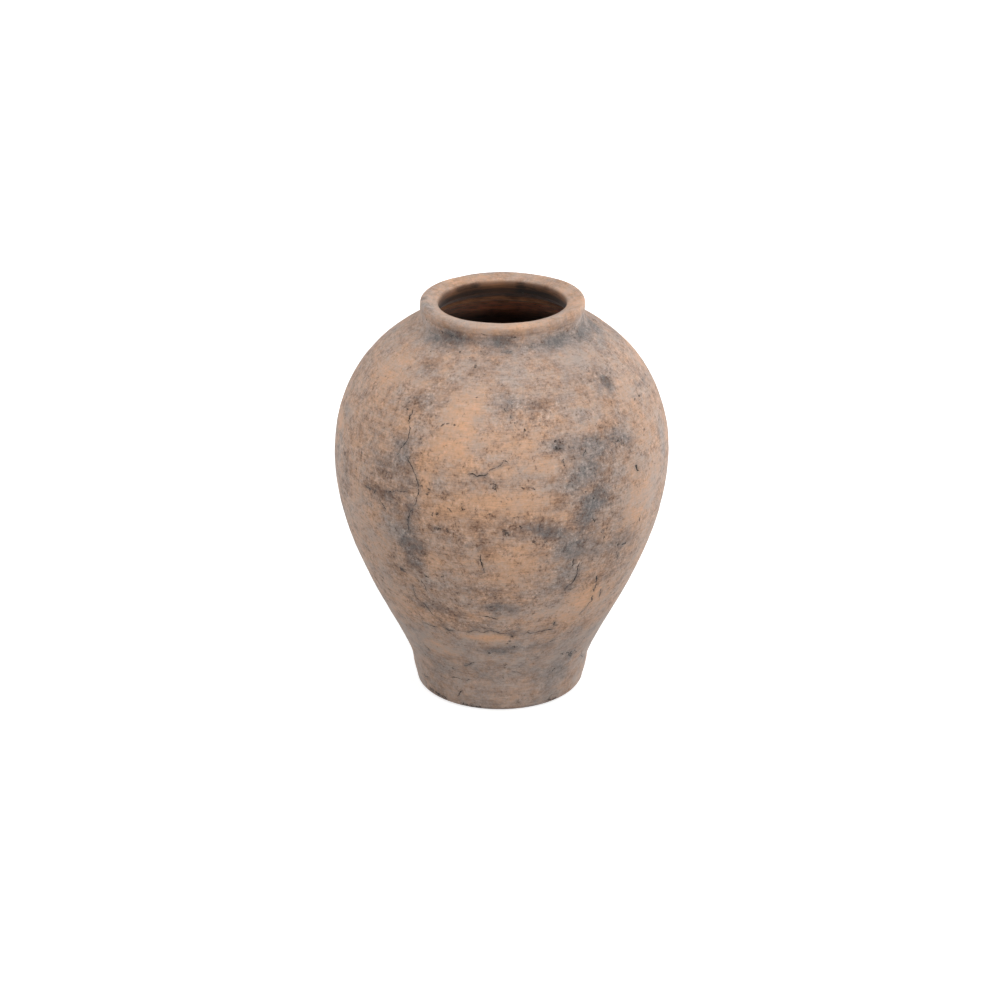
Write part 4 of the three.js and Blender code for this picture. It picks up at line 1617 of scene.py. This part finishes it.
@dataclass(frozen=True)
class FiredClay:
    """Dry, low-fired terracotta whose pores hold soil and smoke, with specks, pits and fine cracks."""

    name: str
    peach: Colour = (0.64, 0.372, 0.225)  # colour of the clay where it is warmest
    ash: Colour = (0.45, 0.365, 0.32)  # colour of the clay under a thin grey haze
    soil: Colour = (0.18, 0.094, 0.06)  # colour of the filled pores where the clay is warm
    smoke: Colour = (0.15, 0.155, 0.16)  # colour of the filled pores where the clay is grey
    inner: Colour = (0.42, 0.18, 0.08)  # colour of the raw inside
    lime: Colour = (0.62, 0.51, 0.40)  # colour of pale flecks between the filled pores
    soot: Colour = (0.022, 0.017, 0.014)  # colour in cracks and pits
    load: float = -0.1  # how much soil lies on the clay everywhere
    clouds: float = 1.5  # how much the soil varies from place to place
    grit: float = 2.3  # how uneven the pores are
    pits: float = 0.2  # share of the cells of the surface that hold a pit
    pit_cell: float = 4.0  # width of such a cell in millimetres
    roughness: float = 0.9  # roughness of the clay
    gloss: float = 0.3  # strength of its mirror-like part
    dust: float = 0.15  # weight of the dusty sheen
    dust_spread: float = 0.5  # roughness of that sheen
    grain: float = 0.12  # height of the fine grain in millimetres
    crack_depth: float = 0.4  # depth of the cracks in the bump, in millimetres
    pit_depth: float = 0.45  # depth of the pits and nicks in the bump, in millimetres

    def material(self) -> Material:
        """Builds the material.

        Returns:
            The material, with the clay's own colours, filled pores, specks, pits and cracks.
        """
        bench = Bench(bpy.data.materials.new(self.name))
        cracks = self._cracks(bench)
        pits = self._pits(bench).most(self._nicks(bench))
        height = bench.noise(Pattern.GRAIN) * self.grain - self.crack_depth * cracks - self.pit_depth * pits
        sockets = {
            "Base Color": self._colour(bench, cracks, pits),
            "Roughness": self.roughness,
            "Normal": bench.add("ShaderNodeBump", {}, {"Height": height, "Distance": MM, "Strength": 1.0}),
            "Specular IOR Level": self.gloss,
            "Sheen Weight": self.dust,
            "Sheen Roughness": self.dust_spread,
        }
        return bench.finish(bench.add("ShaderNodeBsdfPrincipled", {}, sockets))

    def _cracks(self, bench: Bench) -> Wire:
        """The dark line of a crack: where the distance to it is less than its half width.

        Args:
            bench: Where the nodes go.

        Returns:
            The wire, 1 in a crack.
        """
        side = abs(bench.read(Field.CRACK_SIDE) + bench.noise(Pattern.CRACK_WOBBLE) * 3.0)
        opening = (1.0 + bench.noise(Pattern.CRACK_OPENING) * 5.0).most(0.15)
        width = bench.read(Field.CRACK_WIDTH) * 0.7
        return (width * opening - side).step(-0.1, 0.1) * width.step(0.02, 0.1)

    def _nicks(self, bench: Bench) -> Wire:
        """The nicks: where the two measures from the nearest one, squared and added, stay under one.

        Args:
            bench: Where the nodes go.

        Returns:
            The wire, 1 in a nick.
        """
        along, across = bench.read(Field.NICK_ALONG), bench.read(Field.NICK_ACROSS)
        ragged = bench.noise(Pattern.NICK_EDGE) * 8.0
        inside = (0.6 - (along * along + across * across) * 0.45 + ragged).step(-0.1, 0.5)
        return inside * bench.read(Field.NICK_NEAR).step(0.3, 0.6)

    def _pits(self, bench: Bench) -> Wire:
        """Small uneven pits in some of the cells that the surface is divided into.

        A cell is chosen by its own random red and by the swarms, and its random green gives the girth.

        Args:
            bench: Where the nodes go.

        Returns:
            The wire, 1 in a pit.
        """
        settings = {"voronoi_dimensions": "3D", "feature": "F1"}
        values = {"Vector": bench.stretched(self.pit_cell, 1.25, 2.0), "Scale": 1.0}
        kinds = ("Distance", "Color")
        near, tint = (bench.add("ShaderNodeTexVoronoi", settings, values, kind) for kind in kinds)
        pick, girth = (
            bench.add("ShaderNodeSeparateColor", {}, {"Color": tint}, band) for band in ("Red", "Green")
        )
        load = bench.read(Field.DUSK) * 0.15
        crowd = pick * 0.5 + bench.noise(Pattern.PIT_SWARM) * 3.0 + load
        chosen = crowd.step(1.0 - self.pits, 1.06 - self.pits)
        edge = bench.noise(Pattern.PIT_EDGE) * 0.9
        return (girth * girth * 0.26 + 0.03 - near + edge).step(-0.04, 0.05) * chosen

    def _colour(self, bench: Bench, cracks: Wire, pits: Wire) -> Wire:
        """Lays the colours over one another, from the clay itself to the soot in its cracks.

        Args:
            bench: Where the nodes go.
            cracks: Wire with the lines of the cracks.
            pits: Wire with the pits.

        Returns:
            The wire with the colour.
        """
        dusk, tone, clean = (bench.read(mark) for mark in (Field.DUSK, Field.TONE, Field.SPECKLE))
        patterns = (Pattern.CLOUDS, Pattern.HUE, Pattern.MOTTLE, Pattern.FINE, Pattern.WIPE, Pattern.SWARM)
        clouds, hue, mottle, fine, wipe, swarm = (bench.noise(pattern) for pattern in patterns)
        speckled = CLEAN / clean

        # How cool the clay is, and how full its pores: soil where it is warm, smoke where it is grey.
        greyer = bench.read(Field.CHILL) * 0.5 - bench.read(Field.WARMTH)
        cool = (0.5 + greyer - hue * 2.8 - mottle * 0.8).step(-0.3, 1.3)
        load = dusk + clouds * self.clouds + wipe * 0.8 + self.load
        filled = (load + (mottle * self.grit + fine * 0.8) * speckled).step(-0.5, 0.95)
        clay = bench.blend(cool, self.peach, self.ash)
        colour = bench.blend(filled * 0.8, clay, bench.blend(cool * cool, self.soil, self.smoke))

        # Specks of soil, flecks of lime, and a scribble of fine cracks that breaks off here and there.
        grime = (load * 0.5 + swarm * 3.0 + 0.45).step(0.0, 1.0)
        rough = fine * 1.9 + mottle * 1.2
        specks = (rough + grime * 0.1 - clean).step(0.0, 0.14)
        colour = bench.blend(specks * 0.55, colour, self.soil)
        flecks = (grime * 0.04 - rough - clean).step(0.02, 0.2)
        colour = bench.blend(flecks * 0.25, colour, self.lime)
        scribble = (0.014 - abs(bench.noise(Pattern.SCRIBBLE))).step(0.0, 0.014)
        broken = (grime * 0.5 + bench.noise(Pattern.GAPS) * 2.0 - 0.3).step(0.0, 0.3)
        line = bench.blend(cool, self.soil, self.smoke)
        colour = bench.blend(scribble * broken * 0.75, colour, line)
        halo = bench.read(Field.CRACK_STAIN) * (0.3 + clouds * 1.2).most(0.0)
        colour = bench.blend(halo, colour, self.smoke)

        # Streaks of light and dark, the tone with its painted light and shade, the raw inside, and the
        # soot.
        streak = (mottle * 0.9 + fine * 0.75) * (0.5 + grime * 0.9) + wipe * (0.6 - grime * 0.4)
        shade = 1.0 - load * 0.12 - streak * speckled
        skin = bench.scale(colour, (tone * shade).most(0.05))
        uneven = (clouds * 1.8 + wipe * 3.2 + 1.0 - dusk * 0.7).most(0.1)
        colour = bench.blend(bench.read(Field.INSIDE), skin, bench.scale(self.inner, uneven * tone))
        return bench.blend((cracks * 0.95).most(pits * 0.82), colour, self.soot)


@dataclass
class Foot:
    """Floor slab, the flaring wall of the foot and the coil in the corner between them."""

    jar: Jar
    finish: Material
    raw: Material
    wall_step: float = 1.0 * MM
    inner_step: float = 4.0 * MM
    base_step: float = 6.0 * MM
    floor_step: float = 3.0 * MM
    edge_step: float = 0.6 * MM
    edge_margin: float = 3.0 * MM
    coil: float = 5 * MM  # size of the coil in the corner
    coil_ends: float = 1.25  # how far its ends reach from the corner, in such sizes
    coil_hollow: float = 0.3  # how much less its middle reaches
    # Its hidden back, as steps outwards and up from the corner.
    coil_back: tuple[Pair, ...] = ((0.4 * MM, 0.0), (1.2 * MM, 5.5 * MM))
    coil_points: int = 14

    def pieces(self) -> list[Turned]:
        """The three pieces, from the ground up."""
        return [self.floor_slab(), self.foot_wall(), self.floor_seam_coil()]

    def floor_slab(self) -> Turned:
        """The disc that the jar stands on: out along the base, round its edge, and back over the floor.

        Returns:
            The piece.
        """
        outline, level = self.jar.outline, self.jar.outline.levels.floor
        flat_end = outline.foot_radius - outline.foot_edge - self.edge_margin
        outer = outline.walk_outside(level)
        runs = [
            self.jar.skin_run(0.0, flat_end, self.base_step),
            self.jar.skin_run(flat_end + self.edge_step, outer, self.edge_step),
            self.jar.joint_run(self.jar.key.groove(*self.jar.seam(level)), outer),
            self.jar.skin_run(outline.walk_inside(level), outline.walked[-1], self.floor_step),
        ]
        return Turned("floor_slab", "foot_clay", join_runs(runs, True), self.finish)

    def foot_wall(self) -> Turned:
        """The wall from the slab to the waist.

        Returns:
            The piece.
        """
        levels = self.jar.outline.levels
        profile = self.jar.ring(levels.floor, levels.waist, self.wall_step, self.inner_step)
        return Turned("foot_wall", "foot_clay", profile, self.finish)

    def floor_seam_coil(self) -> Turned:
        """A coil pressed into the corner: a hollow curve from the wall down to the floor.

        Returns:
            The piece.
        """
        outline, level = self.jar.outline, self.jar.outline.levels.floor
        walked = outline.walk_inside(level)
        corner = outline.radius_at(np.array([walked]))[0]
        angle = np.linspace(0.0, math.pi / 2, self.coil_points)
        reach = self.coil * (self.coil_ends - self.coil_hollow * np.sin(2 * angle))
        radius = corner - reach * np.sin(angle)
        height = level + reach * np.cos(angle)
        back = np.array([corner, level]) + self.coil_back
        points = np.concatenate([back, np.stack([radius, height], 1)])
        profile = self.jar.joint_run(points, walked)
        return Turned("floor_seam_coil", "inner_clay", profile, self.raw, COIL_COLUMNS)


@dataclass(frozen=True)
class SeamCoil:
    """A coil pressed along the inside of a seam: a low swelling with two finger ridges, set on the wall.

    Its height above the wall is the square of a cosine over its width, cut by a shallow middle groove.
    """

    half: float = 5.5 * MM  # half its width
    thickness: float = 3.6 * MM  # its greatest height above the wall
    groove: float = 0.7 * MM  # depth of the middle groove
    groove_share: float = 0.25  # half width of the groove, as a share of the coil's
    sunk: float = 0.5 * MM  # how deep the coil's edges lie in the wall
    back_share: float = 0.7  # width of its hidden back, as a share of the coil's
    back_depth: float = 1.4 * MM  # how deep the back lies in the wall
    stretches: float = 20.5  # number of steps over its front

    def piece(self, jar: Jar, node: str, level: float, finish: Material) -> Turned:
        """The coil of one seam.

        Args:
            jar: What all pieces share.
            node: Name of the coil's node.
            level: Level of the seam.
            finish: Material of the coil.

        Returns:
            The piece.
        """
        outline, back = jar.outline, self.half * self.back_share
        middle = outline.walk_inside(level)
        front = jar.skin_run(middle - self.half, middle + self.half, 2 * self.half / self.stretches)
        rear = jar.skin_run(middle - back, middle + back, self.half)
        share = np.linspace(-1.0, 1.0, len(front.walked))
        swell = self.thickness * np.cos(share * math.pi / 2) ** 2
        lift = swell - self.groove * hump(0.0, self.groove_share, share) - self.sunk
        walked = np.concatenate([front.walked, rear.walked[::-1]])
        height = np.concatenate([lift, np.full(len(rear.walked), -self.back_depth)])
        places = np.stack([outline.radius_at(walked), outline.level_at(walked)], 1)
        places += outline.outward_at(walked) * height[:, None]
        profile = Profile(places[:, 0], places[:, 1], walked, np.ones(len(places)))
        return Turned(node, "inner_clay", profile, finish, COIL_COLUMNS)


@dataclass
class Body:
    """The two halves of the swelling body, with the coils on the inside of their seams."""

    jar: Jar
    finish: Material
    raw: Material
    outer_step: float = 1.5 * MM
    inner_step: float = 5.0 * MM
    coil: SeamCoil = SeamCoil()

    def pieces(self) -> list[Turned]:
        """Two sections and two coils.

        Returns:
            The four pieces.
        """
        levels = self.jar.outline.levels
        lower = self.jar.ring(levels.waist, levels.belly_seam, self.outer_step, self.inner_step)
        upper = self.jar.ring(levels.belly_seam, levels.neck, self.outer_step, self.inner_step)
        return [
            Turned("lower_body", "body_clay", lower, self.finish),
            Turned("upper_body", "body_clay", upper, self.finish),
            self.coil.piece(self.jar, "waist_seam_coil", levels.waist, self.raw),
            self.coil.piece(self.jar, "belly_seam_coil", levels.belly_seam, self.raw),
        ]


@dataclass
class Neck:
    """The short collar, the rolled lip on it, and the coil on the inside of the collar's seam."""

    jar: Jar
    finish: Material
    lip_finish: Material
    raw: Material
    step: float = 0.6 * MM
    coil: SeamCoil = SeamCoil()

    def pieces(self) -> list[Turned]:
        """The collar, the lip and the coil.

        Returns:
            The three pieces.
        """
        levels = self.jar.outline.levels
        collar = self.jar.ring(levels.neck, levels.lip, self.step, self.step)
        return [
            Turned("neck_collar", "neck_clay", collar, self.finish),
            Turned("lip_coil", "lip_clay", self._lip(), self.lip_finish),
            self.coil.piece(self.jar, "neck_seam_coil", levels.neck, self.raw),
        ]

    def _lip(self) -> Profile:
        """The rolled lip: over its crest from seam to seam, with its tongue underneath.

        Returns:
            The closed profile.
        """
        outline, level = self.jar.outline, self.jar.outline.levels.lip
        outer, inner = outline.walk_outside(level - HAIR), outline.walk_inside(level)
        crest = self.jar.skin_run(outer, inner, self.step)
        tongue = self.jar.joint_run(self.jar.key.tongue(*self.jar.seam(level)), inner)
        return join_runs([crest, tongue])


@dataclass(frozen=True)
class Lamp:
    """A soft box: where it stands as seen from the jar, how strongly it lights, and its size."""

    name: str
    azimuth: float  # direction in degrees, from the camera's side towards its right
    elevation: float  # height above the ground in degrees, as seen from the jar
    level: float  # brightness of a white face turned to the lamp
    width: float  # width of the soft box
    height: float  # height of the soft box


@dataclass
class Studio:
    """A plain pale floor, soft lamps and a white surround."""

    lamps: tuple[Lamp, ...] = (
        Lamp("key", 45, 35, 0.42, 1.3, 1.3),
        Lamp("front_left", 315, 35, 0.25, 1.3, 1.3),
        Lamp("front", 0, 14, 0.10, 1.0, 0.8),
        Lamp("over_left", 270, 62, 0.2, 1.2, 1.2),
        Lamp("over_right", 90, 62, 0.185, 1.2, 1.2),
        Lamp("back_left", 228, 8, 0.285, 0.9, 1.2),
        Lamp("back_right", 132, 8, 0.54, 0.9, 1.2),
    )
    distance: float = 2.4  # distance of each from the jar
    centre: float = 0.22  # height that they are turned to
    floor_radius: float = 14.0  # radius of the floor
    floor_corners: int = 64  # number of its corners
    floor_grey: float = 0.62  # how much light the floor throws back
    glow: float = 0.72  # strength of the floor's own glow under the jar
    glow_reach: Pair = (0.3, 1.4)  # distances from the jar where it begins to rise, and is white
    ambient: float = 0.08  # strength of the light from all sides

    def build(self) -> None:
        """Sets up the floor, the lamps and the world."""
        self._floor()
        for lamp in self.lamps:
            self._hang(lamp)
        self._world()
        bpy.context.scene.view_settings.view_transform = "Standard"

    def _hang(self, lamp: Lamp) -> None:
        """Hangs a lamp, facing the jar. Its power is level * pi squared * distance squared.

        Args:
            lamp: The soft box.
        """
        a, e = math.radians(lamp.azimuth), math.radians(lamp.elevation)
        towards = Vector((math.sin(a) * math.cos(e), -math.cos(a) * math.cos(e), math.sin(e)))
        data = bpy.data.lights.new(lamp.name, "AREA")
        data.shape = "RECTANGLE"
        data.size, data.size_y = lamp.width, lamp.height
        data.energy = lamp.level * (math.pi * self.distance) ** 2
        box = add_object(lamp.name, data)
        box.location = Vector((0.0, 0.0, self.centre)) + towards * self.distance
        box.rotation_euler = towards.to_track_quat("Z", "Y").to_euler()
        box.visible_camera = False

    def _floor(self) -> None:
        """Lays the floor. It takes the jar's shadow, and as a background it glows up to white."""
        bench = Bench(bpy.data.materials.new("studio_floor"))
        sides = {0: bench.place, 1: (1.0, 1.0, 0.0)}
        flat = bench.add("ShaderNodeVectorMath", {"operation": "MULTIPLY"}, sides)
        away = bench.add("ShaderNodeVectorMath", {"operation": "LENGTH"}, {0: flat}, "Value")
        rise = away.step(*self.glow_reach) * (1.0 - self.glow) + self.glow
        light = bench.add(
            "ShaderNodeEmission", {}, {"Color": WHITE, "Strength": rise * bench.background_rays()}
        )
        plain = bench.add("ShaderNodeBsdfDiffuse", {}, {"Color": (self.floor_grey,) * 3})
        material = bench.finish(bench.add("ShaderNodeAddShader", {}, {0: plain, 1: light}))
        angle = 2 * math.pi * np.arange(self.floor_corners) / self.floor_corners
        rim = self.floor_radius * np.stack([np.cos(angle), np.sin(angle), 0 * angle], 1)
        mesh = bpy.data.meshes.new("studio_floor")
        mesh.from_pydata(rim.tolist(), [], [list(range(len(rim)))])
        mesh.materials.append(material)
        add_object("studio_floor", mesh)

    def _world(self) -> None:
        """A white surround as the background, and a little light from all sides for the rest."""
        world = bpy.data.worlds.new("studio_world")
        bpy.context.scene.world = world
        bench = Bench(world)
        strength = bench.background_rays() * (1.0 - self.ambient) + self.ambient
        bench.finish(bench.add("ShaderNodeBackground", {}, {"Color": WHITE, "Strength": strength}))


def main() -> None:
    """Builds the jar from the ground up, then the studio and the camera, and reports each piece."""
    logging.basicConfig(level=logging.INFO, format="%(message)s")
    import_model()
    view = Viewpoint()
    outline = Outline.of_frame()
    crazing = Crazing(outline, view)
    weathering = Weathering(outline, view, crazing, Nicks(outline, view))
    jar = Jar(outline, Relief(outline, crazing, view), weathering)
    raw = FiredClay("inner_clay").material()
    foot = Foot(jar, FiredClay("foot_clay").material(), raw)
    body = Body(jar, FiredClay("body_clay").material(), raw)
    neck = Neck(jar, FiredClay("neck_clay").material(), FiredClay("lip_clay").material(), raw)
    for part in (foot, body, neck):
        for piece in part.pieces():
            made = piece.build(jar)
            log.info("%s: %d faces", made.name, len(made.data.polygons))
    view.camera()
    Studio().build()


if __name__ == "__main__":
    main()
